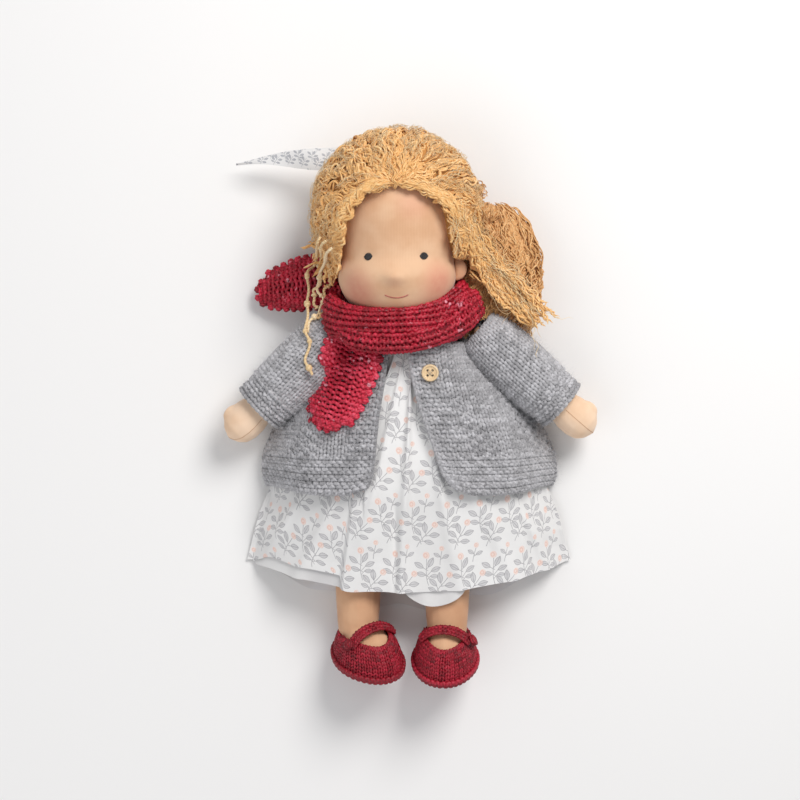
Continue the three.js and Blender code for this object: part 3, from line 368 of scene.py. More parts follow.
# What the CAD nodes hold.
def welded(node):
    mesh = frame["nodes"][node].data
    mesh.calc_loop_triangles()
    co = np.empty(len(mesh.vertices) * 3)
    mesh.vertices.foreach_get("co", co)
    tri = np.empty(len(mesh.loop_triangles) * 3, int)
    mesh.loop_triangles.foreach_get("vertices", tri)
    co, tri = co.reshape(-1, 3), tri.reshape(-1, 3)
    whole = np.round(co * 1e6).astype(np.int64)
    _, first, back = np.unique(whole, axis=0, return_index=True, return_inverse=True)
    tri = back.reshape(-1)[tri]
    good = (tri[:, 0] != tri[:, 1]) & (tri[:, 1] != tri[:, 2]) & (tri[:, 0] != tri[:, 2])
    return co[first] / MM - SHIFT, tri[good]


def core(node, inset, mat=0):
    """The node's own solid, drawn in by inset, as a shell under what is worked over it; under a knit it takes
    painted shade, which shows between the loops.
    """
    v, t = welded(node)
    face = np.cross(v[t[:, 1]] - v[t[:, 0]], v[t[:, 2]] - v[t[:, 0]])
    n = np.zeros_like(v)
    for k in range(3):
        np.add.at(n, t[:, k], face)
    return part(v - unit(n) * inset, tris=t, mat=mat, tone=np.full(len(v), 0.1))


def stuffed(node, voxel=1.2, rounds=12, swell=0.35):
    """The node's solid as one smooth stuffed skin: (vertices, faces)."""
    v, t = welded(node)
    mesh = bpy.data.meshes.new("tmp")
    mesh.from_pydata((v * MM).tolist(), [], t.tolist())
    obj = bpy.data.objects.new("tmp", mesh)
    bpy.context.scene.collection.objects.link(obj)
    m = obj.modifiers.new("r", "REMESH")
    m.mode, m.voxel_size = "VOXEL", voxel * MM
    m = obj.modifiers.new("s", "SMOOTH")
    m.factor, m.iterations = 0.5, rounds
    done = bpy.data.meshes.new_from_object(obj.evaluated_get(bpy.context.evaluated_depsgraph_get()))
    co = np.empty(len(done.vertices) * 3)
    done.vertices.foreach_get("co", co)
    no = np.empty(len(done.vertices) * 3)
    done.vertices.foreach_get("normal", no)
    v = co.reshape(-1, 3) / MM + no.reshape(-1, 3) * swell
    quads = np.array([tuple(f.vertices) for f in done.polygons if len(f.vertices) == 4], int).reshape(-1, 4)
    tris = np.array([tuple(f.vertices) for f in done.polygons if len(f.vertices) == 3], int).reshape(-1, 3)
    bpy.data.objects.remove(obj)
    bpy.data.meshes.remove(done)
    return part(v, quads, tris)


def tree(*nodes):
    vs, ts, n = [], [], 0
    for node in nodes:
        v, t = welded(node)
        vs.append(v)
        ts.append(t + n)
        n += len(v)
    return BVHTree.FromPolygons(np.concatenate(vs).tolist(), np.concatenate(ts).tolist())


def top_of(bvh, x, y):
    hit = bvh.ray_cast(Vector((x, y, 300.0)), Vector((0, 0, -1)))
    return hit[0].z if hit[0] is not None else 0.0


# Materials.
class Out:
    """The output of a shader node, ready for arithmetic."""

    def __init__(self, paint, node, key=0):
        self.paint, self.node, self.socket = paint, node, node.outputs[key]

    def __add__(self, other):
        return self.paint.do("ADD", self, other)

    def __sub__(self, other):
        return self.paint.do("SUBTRACT", self, other)

    def __rsub__(self, other):
        return self.paint.do("SUBTRACT", other, self)

    def __mul__(self, other):
        return self.paint.do("MULTIPLY", self, other)

    def __truediv__(self, other):
        return self.paint.do("DIVIDE", self, other)

    def __lt__(self, other):
        return self.paint.do("LESS_THAN", self, other)

    def __gt__(self, other):
        return self.paint.do("GREATER_THAN", self, other)


class Paint:
    """A material whose nodes feed one Principled shader."""

    def __init__(self, name, rough=0.9, **sockets):
        self.mat = bpy.data.materials.new(name)
        self.mat.use_nodes = True
        self.tree = self.mat.node_tree
        self.out = self.tree.nodes["Principled BSDF"]
        for key, value in {"Roughness": rough, **sockets}.items():
            self.out.inputs[key.replace("_", " ")].default_value = value

    def put(self, socket, value):
        if isinstance(value, Out):
            self.tree.links.new(value.socket, socket)
        elif value is not None:
            socket.default_value = value

    def node(self, kind, inputs=(), out=0, **props):
        """One output of a new node, with its inputs set or linked."""
        n = self.tree.nodes.new("ShaderNode" + kind)
        for key, value in props.items():
            setattr(n, key, value)
        for key, value in dict(inputs).items():
            self.put(n.inputs[key], value)
        return Out(self, n, out)

    def do(self, op, *values):
        return self.node("Math", enumerate(values), operation=op)

    def attr(self, name, out="Fac"):
        return self.node("Attribute", out=out, attribute_name=name)

    def parts(self, vector):
        n = self.node("SeparateXYZ", {0: vector}).node
        return [Out(self, n, k) for k in range(3)]

    def coords(self):
        return self.node("TexCoord", out="Object")

    def noise(self, scale, detail=3.0, vector=None):
        inputs = {"Scale": scale, "Detail": detail, "Vector": self.coords() if vector is None else vector}
        return self.node("TexNoise", inputs, "Fac")

    def mix(self, share, a, b):
        return self.node("Mix", {0: share, 6: a, 7: b}, 2, data_type="RGBA")

    def ramp(self, value, *stops):
        out = self.node("ValToRGB", {0: value})
        elements = out.node.color_ramp.elements
        while len(elements) < len(stops):
            elements.new(0.5)
        for e, (place, colour) in zip(elements, stops):
            e.position, e.color = place, rgb(colour)
        return out

    def span(self, value, low, high, to_low=0.0, to_high=1.0):
        """A smooth step from to_low to to_high as the value goes from low to high."""
        inputs = {"Value": value, "From Min": low, "From Max": high, "To Min": to_low, "To Max": to_high}
        return self.node("MapRange", inputs, interpolation_type="SMOOTHSTEP")

    def bump(self, height, strength, distance, normal=None):
        sockets = {"Strength": strength, "Distance": distance, "Height": height, "Normal": normal}
        return self.node("Bump", sockets)

    def finish(self, colour, normal=None):
        self.put(self.out.inputs["Base Color"], colour)
        self.put(self.out.inputs["Normal"], normal)
        return self.mat


def rgb(c):
    """The linear colour of a six-digit sRGB code."""
    c = [int(c[i : i + 2], 16) / 255 for i in (0, 2, 4)]
    return (*[x / 12.92 if x <= 0.04045 else ((x + 0.055) / 1.055) ** 2.4 for x in c], 1.0)


def yarn_paint(
    name, dark, mid, light, plies=2.2, ply_bump=0.6, sheen=0.35, rough=0.85, fleck=None, speckle=0.45
):
    """Plied yarn: the plies wind round it, and each length of it has its own shade."""
    p = Paint(name, rough, Sheen_Weight=sheen, Sheen_Roughness=0.5)
    c, s, along = p.parts(p.attr("yarn", "Vector"))
    wave = along * (TAU / plies)
    twist = p.do("SINE", wave) * c + p.do("COSINE", wave) * s
    grain = p.noise(900, 4)
    # The plies' grooves are painted a little darker with the twist: painted shade.
    level = p.attr("tone") * 0.5 + (grain * speckle + (0.225 - 0.5 * speckle)) + twist * 0.1
    colour = p.ramp(level, (0.1, dark), (0.5, mid), (0.9, light))
    if fleck is not None:
        colour = p.mix(p.span(p.noise(160, 2), 0.66, 0.72), colour, rgb(fleck))
    return p.finish(colour, p.bump(twist * 0.6 + grain * 0.8, ply_bump, 0.0004))


def plain_paint(name, colour, rough=0.9, sheen=0.0, vary=0.12, scale=300):
    p = Paint(name, rough, Sheen_Weight=sheen)
    base = np.array(rgb(colour))
    dark = tuple(base[:3] * (1 - vary)) + (1.0,)
    grain = p.noise(scale, 4)
    return p.finish(p.mix(grain, dark, tuple(base)), p.bump(grain, 0.3, 0.0003))


def fibre_paint(name, dark, light, rough=0.6):
    p = Paint(name, rough, Sheen_Weight=0.3)
    return p.finish(p.ramp(p.attr("tone"), (0.0, dark), (1.0, light)))


def jersey_paint(name, base, deep, blush_and_shade=(), ribs=1.05, courses=0.85):
    """Fine ribbed knit jersey, with blush and painted shade at given places: (x, y, z, radius, strength,
    tint).
    """
    p = Paint(name, 0.88, Sheen_Weight=0.25, Sheen_Roughness=0.4)
    at = p.coords()
    x, y, _ = p.parts(at)
    wobble = p.noise(60, 2) * 0.0011
    rib = p.do("SINE", (x + wobble) * (TAU / (ribs * MM)))
    course = p.do("SINE", (y + wobble) * (TAU / (courses * MM)))
    colour = p.mix(p.span(p.noise(38, 3), 0.35, 0.7), rgb(base), rgb(deep))
    for *middle, radius, strength, tint in blush_and_shade:
        far = p.node("VectorMath", {0: at, 1: mark(*middle)}, "Value", operation="DISTANCE")
        fall = p.span(far, radius * MM, radius * 0.15 * MM, 0.0, strength)
        colour = p.mix(fall * p.span(p.noise(220, 3), 0.1, 0.8, 0.75, 1.0), colour, rgb(tint))
    weave = rib * 0.5 + course * 0.35
    # The grooves of the weave are painted a little towards the deep tone: painted shade.
    colour = p.mix(p.span(weave, -0.8, 0.8, 0.05, 0.0), colour, rgb(deep))
    return p.finish(colour, p.bump(weave, 0.22, 0.00018, p.bump(p.noise(500, 3), 0.12, 0.0002)))


# A sprig's cell is so wide and high; a leaf is its middle, its slant, half its length and half its width.
SPRIG = (24.5, 37.0)
LARGE_LEAVES = (
    (-5.0, 2.4, 2.45, 3.9, 2.0),
    (3.6, 3.4, 0.95, 4.2, 2.0),
    (6.3, -2.0, 0.3, 3.9, 1.9),
    (-4.6, -4.2, 2.8, 3.7, 1.8),
    (4.6, -6.8, -0.1, 3.2, 1.6),
)
SMALL_LEAVES = ((-3.1, -0.8, 2.6, 2.8, 1.45), (3.1, -1.6, 0.5, 2.9, 1.45))


def sprig_layer(p, u, v, seed, offset, leaves, stem_ends, bud_at, bud_size, lean):
    """A scatter of upright sprigs: the masks of leaf, line, bud and the bud's folds."""
    w, h = SPRIG
    v = v + u * 0.08 + offset[1]
    row = p.do("FLOOR", v / h)
    shifted = (u + offset[0]) / w + row * 0.416
    col = p.do("FLOOR", shifted)
    cell = p.node("CombineXYZ", {0: col, 1: row, 2: seed})
    r1, r2, r3 = p.parts(p.node("TexWhiteNoise", {"Vector": cell}, "Color", noise_dimensions="3D"))
    x = (shifted - col - 0.5) * w + (r1 - 0.5) * 1.6
    y = (v / h - row - 0.5) * h + (r2 - 0.5) * 1.8
    turn = (r3 - 0.5) * 0.26 + lean
    cs, sn = p.do("COSINE", turn), p.do("SINE", turn)
    lx, ly = x * cs + y * sn, y * cs - x * sn
    fill, line = 0.0, 0.0
    for cx, cy, angle, a, b in leaves:
        ca, sa = math.cos(angle), math.sin(angle)
        dx, dy = lx - cx, ly - cy
        px = dx * (ca / a) + dy * (sa / a)
        py = p.do("ABSOLUTE", dy * (ca / b) - dx * (sa / b))
        inner = 1.0 - px * px - py
        inside = inner > 0.0
        fill = p.do("MAXIMUM", fill, inside)
        line = p.do("MAXIMUM", line, p.do("MAXIMUM", inside * (inner < 0.2), inside * (py < 0.09)))
    low, high = stem_ends
    stem = p.do("ABSOLUTE", lx - p.do("SINE", ly * 0.2) * 1.1) < 0.24
    line = p.do("MAXIMUM", line, stem * ((ly > low) * (ly < high)))
    for cx, cy, angle, a, _ in leaves:
        # A twig from the leaf's foot down to the stem.
        side = math.copysign(1.0, cx)
        foot_x, foot_y = cx - a * 0.9 * math.cos(angle), cy - a * 0.9 * math.sin(angle)
        twig = p.do("ABSOLUTE", ly - foot_y - (lx - foot_x) * (0.8 * side))
        out = lx * side
        near = (out > -0.8) * (out < max(foot_x * side, 0.4) + 0.5)
        line = p.do("MAXIMUM", line, near * (twig < 0.28))
    bx, by = (lx - bud_at[0]) / bud_size, (ly - bud_at[1]) / (bud_size * 1.12)
    ball = bx * bx + by * by
    bud = ball < 1.0
    return fill, line, bud, bud * (p.do("SINE", ball * 6.5 + bx * 2.4) > 0.55)


def cotton_paint(name, printed, scale=1.0, buds=True, ground="eae8e6", leaf="c3c1c2", ink="918e91"):
    """Thin woven cotton, plain or with a small print of sprigs."""
    p = Paint(name, 0.85, Sheen_Weight=0.15)
    u, v, _ = p.parts(p.attr("flat", "Vector"))
    thread = TAU / 0.55
    weave = p.do("SINE", u * thread) * p.do("SINE", v * thread)
    colour = p.mix(p.span(p.noise(25, 2), 0.3, 0.7), rgb(ground), rgb("e2e0de"))
    if printed:
        strength = p.span(p.noise(450, 2), 0.2, 0.8, 0.7, 1.0)
        turned = [(-x, y, math.pi - a, m, n) for x, y, a, m, n in LARGE_LEAVES]
        for layer in (
            (3.0, (0.0, 0.0), LARGE_LEAVES, (-13.0, 6.6), (1.2, 9.0), 2.35, 0.15),
            (5.0, (13.9, 12.0), turned, (-12.0, 6.6), (1.2, 9.0), 2.2, -0.5),
            (8.0, (-10.2, -11.2), SMALL_LEAVES, (-8.0, 2.2), (0.5, 4.2), 1.75, -0.1),
        ):
            fill, line, bud, folds = sprig_layer(p, u / scale, v / scale, *layer)
            marks = [(fill * (strength * 0.85), leaf), (line * (strength * 0.8), ink)]
            if buds:
                marks += [(bud * (strength * 0.85), "efd2c6"), (folds * 0.45, "dba693")]
            for share, shade in marks:
                colour = p.mix(share, colour, rgb(shade))
    return p.finish(colour, p.bump(weave, 0.12, 0.0001, p.bump(p.noise(70, 4), 0.35, 0.0012)))


def knit_paints(name, shade_backing, dark, mid, light, fibre_dark, fibre_light, **more):
    """What a knitted piece is made of: its shell in painted shade, seen between the stitches, its yarn and
    its fibres.
    """
    return [
        plain_paint(name + " backing", shade_backing),
        yarn_paint(name + " knit", dark, mid, light, **more),
        fibre_paint(name + " fibre", fibre_dark, fibre_light),
    ]


# The first colour of each is painted shade, for the shell that shows between the stitches.
MOHAIR = knit_paints(
    "mohair", "858387", "7b797b", "aeacae", "d6d4d7", "b3b1b4", "e8e7ea", plies=3.4, ply_bump=0.5, sheen=0.4
)
FINE = {"sheen": 0.0, "plies": 2.8, "rough": 0.5}
WINE = knit_paints(
    "wine", "7a0a1c", "66030f", "a80a26", "dd2f4c", "8c0a20", "c4304a", fleck="dd8a98", **FINE
)
# A lighter copy of the wine for the front tail: painted light.
WINE_PAINTED_LIT = knit_paints(
    "light wine", "a5182e", "8a1023", "cf2440", "ef6078", "8c0a20", "c4304a", fleck="e59aa6", **FINE
)
CRIMSON = knit_paints(
    "crimson", "720618", "56000f", "95061f", "c2203c", "740519", "a81c34", sheen=0.0, plies=2.4, rough=0.55
)
HAIR = {"plies": 4.5, "sheen": 0.1, "ply_bump": 0.2, "speckle": 0.14}
gold = yarn_paint("curly yarn", "cf9653", "eab673", "f8dba6", rough=0.45, **HAIR)
# A darker copy of the curly yarn, for the loose mass and the curls beside it: painted shade.
gold_shaded = yarn_paint("loose hair", "ab7440", "d9a468", "f2cf9a", rough=0.5, **HAIR)
# The shell under the hair is a darker gold: painted shade that shows between the strands.
gold_shade_core = plain_paint("hair backing", "c48a4a")
gold_haze = fibre_paint("hair fibre", "d9a962", "f8e4b8", 0.5)
pale_yarn = yarn_paint("lock yarn", "cfa56c", "ecd0a0", "f8e6c8", plies=2.6, sheen=0.2, rough=0.7)
print_cotton = cotton_paint("printed cotton", True)
plain_cotton = cotton_paint("cotton reverse", False, ground="ebebee")
# A darker copy of the plain cotton for the lining: painted shade.
lining_cotton_shaded = cotton_paint("lining cotton", False, ground="d2cfce")
thread_paint = plain_paint("sewing thread", "c79a74")
eye_paint = yarn_paint("eye thread", "141314", "221f20", "3a3637", plies=0.8, sheen=0.2, rough=0.5)
lip_paint = yarn_paint("lip thread", "a14a43", "b95c54", "c87870", plies=0.8, sheen=0.2, rough=0.6)


# Curves.
def spline(points, count, closed=False):
    """A smooth curve through the points, at even steps along its length."""
    p = np.asarray(points, float)
    n = len(p)
    spans = n if closed else n - 1
    t = np.linspace(0, spans, spans * 24 + 1)
    i = np.minimum(t.astype(int), spans - 1)
    f = (t - i)[:, None]

    def at(k):
        return p[np.mod(k, n)] if closed else p[np.clip(k, 0, n - 1)]

    a, b, c, d = at(i - 1), at(i), at(i + 1), at(i + 2)
    fine = 0.5 * (2 * b + (c - a) * f + (2 * a - 5 * b + 4 * c - d) * f**2 + (3 * b - a - 3 * c + d) * f**3)
    return even(fine, count + 1 if closed else count)[: count if closed else None]


def even(line, count):
    s = np.concatenate([[0], np.cumsum(np.linalg.norm(np.diff(line, axis=0), axis=1))])
    at = np.linspace(0, s[-1], count)
    return np.stack([np.interp(at, s, line[:, k]) for k in range(line.shape[1])], 1)


def length_of(line):
    return np.linalg.norm(np.diff(line, axis=0), axis=1).sum()


# Head.
head_marks = np.stack(
    [
        np.array([0.39, 0.4, 0.47, 0.72, 0.89, 1, 0.98, 0.965, 1.01, 0.99, 0.88, 0.66, 0.36, 0.03]) * 41.5,
        NECK_Y + np.array([0, 0.05, 0.1, 0.16, 0.22, 0.31, 0.4, 0.475, 0.6, 0.7, 0.8, 0.9, 0.97, 1]) * 136.0,
    ],
    1,
)
head_line = spline(head_marks, 220)


def head_radius(y):
    return np.interp(y, head_line[:, 1], head_line[:, 0], left=0, right=0)


NOSE = (HEAD_X - 1.6, 90.0)
EYES = {"left": (6.2, 105.2), "right": (-32.4, 104.8)}


def face_swell(x, y, front):
    """How far the face stands off the turned head."""

    def hill(cx, cy, sx, sy, h):
        return h * np.exp(-(((x - cx) / sx) ** 2) / 2 - (((y - cy) / sy) ** 2) / 2)

    out = hill(*NOSE, 5.4, 3.5, 3.9) + hill(HEAD_X - 24, 85, 10, 9, 1.5) + hill(HEAD_X + 24, 85, 10, 9, 1.5)
    out = out + hill(HEAD_X, 70, 9, 5, 0.9) - hill(HEAD_X, 77, 9, 1.6, 0.45)
    out = out - hill(HEAD_X, 104.5, 27, 4.2, 1.1)
    for ex, ey in EYES.values():
        out = out - hill(ex, ey, 4.0, 2.8, 0.6)
    out = out - hill(HEAD_X + 37, 104, 7, 3.2, 1.0) - hill(HEAD_X - 37, 104, 7, 3.2, 1.0)
    return out * front


def head_place(x, y, lift=0.0):
    """The point of the face's surface over (x, y)."""
    dx = x - HEAD_X
    r = head_radius(y) + face_swell(x, y, 1.0) + lift
    return np.stack([x + 0 * y, y + 0 * x, HEAD_Z + np.sqrt(np.maximum(r**2 - dx**2, 1.0))], -1)


def inside_head(p, grow=0.0):
    r = np.interp(p[..., 1], head_line[:, 1], head_line[:, 0], left=-90, right=-90)
    return np.hypot(p[..., 0] - HEAD_X, p[..., 2] - HEAD_Z) < r + grow


around = circle(176)
hy = even(head_line, 200)
r0 = hy[:, 0][None] + 0 * around[:, None]
hx = HEAD_X + r0 * np.sin(around)[:, None]
hyy = hy[:, 1][None] + 0 * hx
front = smooth((np.cos(around)[:, None] + 0.1) * 2.2)
r1 = r0 + face_swell(hx, hyy, front)
head_grid = np.stack([HEAD_X + r1 * np.sin(around)[:, None], hyy, HEAD_Z + r1 * np.cos(around)[:, None]], -1)
caps = []
for row, flip in ((0, False), (-1, True)):
    ring = head_grid[:, row]
    tip = np.array([[HEAD_X, ring[0, 1] + (0.0 if row == 0 else 0.3), HEAD_Z]])
    k = np.arange(len(ring))
    t = np.stack([np.full(len(ring), len(ring)), (k + 1) % len(ring), k], 1)
    caps.append(part(np.concatenate([ring, tip]), tris=t[:, ::-1] if flip else t))
skin_face = jersey_paint(
    "face jersey",
    "e3ba96",
    "d6a781",
    [
        (HEAD_X - 27, 82, 76, 22, 0.62, "c9705f"),
        (HEAD_X + 29, 87, 76, 22, 0.62, "cf7461"),
        # A pinker, darker patch high on the forehead.
        (HEAD_X + 10, 141, 84, 18, 0.3, "d98d7c"),
        # Painted shade under the nose.
        (NOSE[0], 86, 92, 8, 0.2, "c98468"),
    ],
)
# The hands' jersey is painted lighter and the legs' darker than the body's: painted light on the hands and
# painted shade on the legs.
skins = {
    "ear": jersey_paint("ear jersey", "e0b08c", "d49f79"),
    "torso": jersey_paint("body jersey", "e3ba96", "d6a781"),
    "arm": jersey_paint("hand jersey", "f2d3b6", "e8c29f"),
    "leg": jersey_paint("leg jersey", "deb08a", "d09d78"),
}
head = make("head_form", [grid(head_grid, closed_n=True, flip=True), *caps], skin_face)
settle(head, "head", "head")

for side, (ex, ey) in EYES.items():
    lines = []
    for k in np.linspace(-1, 1, 11):
        half = 2.75 * math.sqrt(max(1 - k * k, 0.06))
        s = np.linspace(-1, 1, 9)
        x, y = ex + k * 2.6 + 0.12 * s, ey + s * half
        rise = 0.75 * np.sqrt(np.maximum(1 - k * k * 0.8 - s * s * 0.8, 0.03))
        lines.append(head_place(x, y) + np.array([0, 0, 1.0]) * rise[:, None])
    eye = make("eye_stitches_" + side, tube(lines, 0.34, 6), eye_paint)
    settle(eye, "head", "eye_" + side)

lines = []
for i in range(6):
    s = np.linspace(i / 6 - 0.01, (i + 1) / 6 + 0.03, 8) * 2 - 1
    x = HEAD_X - 0.3 + 8.0 * s
    rise = np.sin(np.linspace(0, math.pi, 8))[:, None]
    lines.append(head_place(x, 76.2 + 2.0 * s**2, 0.05) + np.array([0, 0, 0.12]) * rise)
mouth = make("mouth_stitches", tube(lines, 0.36, 6), lip_paint)
settle(mouth, "head", "mouth")

arm_trees = {}
for node, body, voxel, fill in (
    ("ear_left", "head", 0.6, 0.7),
    ("torso", "torso", 1.5, 0.9),
    ("arm_left", "arm_left", 0.9, 0.85),
    ("arm_right", "arm_right", 0.9, 0.85),
    ("leg_left", "leg_left", 1.1, 0.85),
    ("leg_right", "leg_right", 1.1, 0.85),
):
    piece = make(node + "_form", stuffed(node, voxel), skins[node.split("_")[0]])
    settle(piece, body, node)
    if node.startswith("arm"):
        side = node[4:]
        skin_tree = BVHTree.FromPolygons(
            [tuple(v.co / MM) for v in piece.data.vertices], [tuple(f.vertices) for f in piece.data.polygons]
        )
        arm_trees[side] = skin_tree


# Arms: their line, and a frame about it.
def arm_axes(side):
    a, f = math.radians(SPREAD[side]), math.radians(5.0)
    d = np.array([WAYS[side] * math.sin(a) * math.cos(f), -math.cos(a) * math.cos(f), -math.sin(f)])
    across = unit(np.cross(d, [0, 0, 1.0]))
    return np.array(SHOULDERS[side]), d, across, np.cross(across, d)


def in_sleeve(p, grow):
    """Whether a point lies in either sleeve or its shoulder ball."""
    out = np.zeros(p.shape[:-1], bool)
    for side in WAYS:
        at, d, _, _ = arm_axes(side)
        s = np.clip((p - at) @ d, 0, 68)
        out |= np.linalg.norm(p - at - s[..., None] * d, axis=-1) < 21.0 + grow
    return out


for side in WAYS:
    at, d, across, high = arm_axes(side)
    # The seam of the mitten runs over its tip.
    seam = []
    for s in np.linspace(0, 1, 40):
        a = -0.6 + s * math.pi * 1.15
        pole = at + d * 80.0
        lean = {"left": 0.1, "right": -0.75}[side]
        aim = d * math.sin(a) + unit(high + across * lean) * math.cos(a)
        start = pole + aim * 60
        hit = arm_trees[side].ray_cast(Vector(start + SHIFT), Vector(-aim))
        if hit[0] is not None:
            seam.append(np.array(hit[0]) - SHIFT + unit(aim) * 0.02)
    stitches = make("hand_seam_" + side, tube([spline(seam, 90)], 0.22, 5), thread_paint)
    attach(stitches, "arm_" + side)
    # The sewing that joins the arm to the body.
    ring = make("arm_joint_" + side, core("arm_stitching_" + side, 0.0), thread_paint)
    settle(ring, "shoulder_" + side, "arm_stitching_" + side)

    # Sleeve.
    marks = [
        (-12.9, 15.8), (-7, 18.8), (0, 20.2), (11, 20.9), (22, 21.2),
        (33, 20.9), (44, 20.0), (53, 19.0), (57, 17.9), (68, 17.8),
    ]
    prof = spline(marks, 80)
    a = circle(96)
    fullest = np.sin(np.clip((prof[:, 0] + 5) / 60, 0, 1) * math.pi)
    puff = 1 + 0.035 * np.sin(3 * a[:, None] + 1.3 * WAYS[side]) * fullest
    rad = prof[:, 1] * puff
    g = at + d * prof[:, 0][None, :, None] + rad[..., None] * (
        across * np.cos(a)[:, None, None] + high * np.sin(a)[:, None, None]
    )
    g[..., 2] = np.maximum(g[..., 2], 1.6)
    sleeve_surf = Surf(g, True, out=g - (at + d * prof[:, 0][None, :, None]))
    cuff = lambda row, place: np.where(row > 20.5, np.where(row % 2 > 0.5, 1.0, -0.7), -1.0)
    pieces = [
        core("sleeve_" + side, 2.0),
        knit(sleeve_surf, 27, 26, cuff, yarn=1.4, depth=0.95, seed=11, mat=1,
             relief=lambda row, place: np.where(row > 20.5, np.where(row % 2 > 0.5, 0.7, -0.5), 0.0)),
        fuzz(sleeve_surf, 12000, 6.0, 0.05, seed=12, mat=2),
    ]
    sleeve = make("sleeve_knit_" + side, pieces, MOHAIR)
    settle(sleeve, "arm_" + side, "sleeve_" + side)


# Dress and cardigan: heights over the plan, as in the solids under them.
DRESS_HALF, DRESS_RISE = 118.0, 58.8
DRESS_TOP, DRESS_HEM, DRESS_TALL = 43.0, -131.0, 174.0
CARDIGAN_HALF, CARDIGAN_RISE = 107.0, 63.8
CARDIGAN_TOP, CARDIGAN_HEM, CARDIGAN_TALL = 50.0, -60.5, 110.5
# The cardigan's fronts end a little below its neck.
FRONT_TOP, FRONT_TALL = 46.0, 106.5


def skirt_share(y):
    return (DRESS_TOP - y) / DRESS_TALL


def dress_half(y):
    return DRESS_HALF * shares([0.4, 0.53, 0.69, 0.76, 0.825, 0.855, 0.92, 0.96, 1], skirt_share(y))


def dress_rise(y):
    return DRESS_RISE * shares([0.96, 1, 1, 1, 1, 0.95, 0.86, 0.78, 0.72], skirt_share(y))


def arch(x, half, rim, rise):
    u = np.minimum(np.abs(x - BODY_X) / half, 1)
    return rim + (rise - rim) * (1 - u**3)


def back_low(y):
    return 3.4 * (1 - np.clip((-80.5 - y) / 12.0, 0, 1))


def cardigan_half(y):
    share = (CARDIGAN_TOP - y) / CARDIGAN_TALL
    return CARDIGAN_HALF * shares([0.47, 0.53, 0.645, 0.78, 0.86, 0.93, 0.985, 1, 0.99], share)


def cardigan_low(x, y):
    own = arch(x, cardigan_half(y), 3.4, CARDIGAN_RISE)
    half = dress_half(y)
    shell = np.where(np.abs(x - BODY_X) < half + 2, 7.4, 3.4)
    return np.maximum(own, shell) + 0.4 * np.abs(x - BODY_X) / half


EDGE = {
    "left": [0, 0.01, 0.03, 0.06, 0.1, 0.145, 0.185, 0.225, 0.31],
    "right": [-0.14, -0.155, -0.17, -0.19, -0.21, -0.222, -0.232, -0.245, -0.28],
}


def front_share(y):
    return (FRONT_TOP - y) / FRONT_TALL


def front_edge(side, y):
    return BODY_X + CARDIGAN_HALF * shares(EDGE[side], front_share(y))


# Dress front: gathers at the neck that fan out into a few broad folds.
def fold_phase(x, y):
    t = np.clip(skirt_share(y), 0, 1)
    pitch = 5.2 + 33.0 * t**1.1
    centre = BODY_X + 2.0 - 6.0 * t
    q = (x - centre) / pitch + 0.2 * wander(x / 34.0 + 2.0, 5) * t
    return q + 0.1 * np.sin(TAU * q)


def ledge(x, y, at_top, at_hem, way):
    """One layer of the skirt that stands over the next along a slanting line."""
    t = np.clip((-40.0 - y) / 85.0, 0, 1.2)
    off = (x - (at_top + (at_hem - at_top) * t)) * way
    return smooth(off / 2.4) * (1 - 0.9 * smooth(off / 42.0)) * smooth((-34.0 - y) / 26.0)


def fold_height(x, y):
    t = np.clip(skirt_share(y), 0, 1)
    q = fold_phase(x, y)
    crest = (0.5 + 0.5 * np.cos(TAU * q)) ** (1.2 + 1.2 * (1 - t))
    each = 0.75 + 0.25 * np.sin(np.round(q) * 2.4 + 1.0)
    open_part = (x > front_edge("right", y) - 2) & (x < front_edge("left", y) + 2)
    hem = smooth((-52.0 - y) / 30.0)
    room = np.where(open_part, 1.0, hem)
    fade = smooth((1 - np.abs(x - BODY_X) / dress_half(y)) * 5)
    high = crest * each * (1.2 + room * (1.9 + 0.6 * t)) + room * ledge(x, y, -42.0, -53.5, 1.0) * 3.2
    high = high + room * ledge(x, y, 66.0, 88.0, -1.0) * 2.4
    groove = np.exp(-(((x - (-14.5 + 1.2 * np.sin(y / 21.0))) / 2.2) ** 2)) * hem * 1.8
    return (high - groove) * fade


def dress_low(x, y):
    rim = back_low(y + 8.0) + 1.8
    return arch(x, dress_half(y), rim, dress_rise(y)) + fold_height(x, y)


SPLIT_Y = -58.0
COLS, ROWS = 380, 210
u = np.linspace(-1, 1, COLS)[:, None]
v = np.linspace(0, 1, ROWS)[None]
y = DRESS_HEM + DRESS_TALL * v
x = BODY_X + u * dress_half(y)
y = y + 20.0 * u**2 * (1 - v) ** 2 + 0 * x
near_hem = (1 - v) ** 6
y = y - 0.45 * np.cos(TAU * fold_phase(x, y)) * near_hem - 1.6 * ledge(x, y, -42.0, -53.5, 1.0) * near_hem
lining_y = y.copy()
lining_z = dress_low(x, y) - 1.1
short = smooth((x + 124.0) / 22.0) * smooth((-50.0 - x) / 3.5)
y = y + 8.6 * short * near_hem
z = dress_low(x, y) + 0.7
dress = np.stack([x, y, z], -1)
dress_n = lattice_normals(dress)
dress_n *= np.sign(dress_n[COLS // 2, ROWS // 2, 2])
step_u = np.linalg.norm(np.diff(dress, axis=0), axis=-1)
flat_u = np.concatenate([np.zeros((1, ROWS)), np.cumsum(step_u, 0)], 0)
flat_u -= flat_u[COLS // 2][None]
step_v = np.linalg.norm(np.diff(dress, axis=1), axis=-1)
flat_v = np.concatenate([np.zeros((COLS, 1)), np.cumsum(step_v, 1)], 1)
dress_flat = np.stack([flat_u, flat_v, 0 * flat_u], -1)
THICK = 0.5


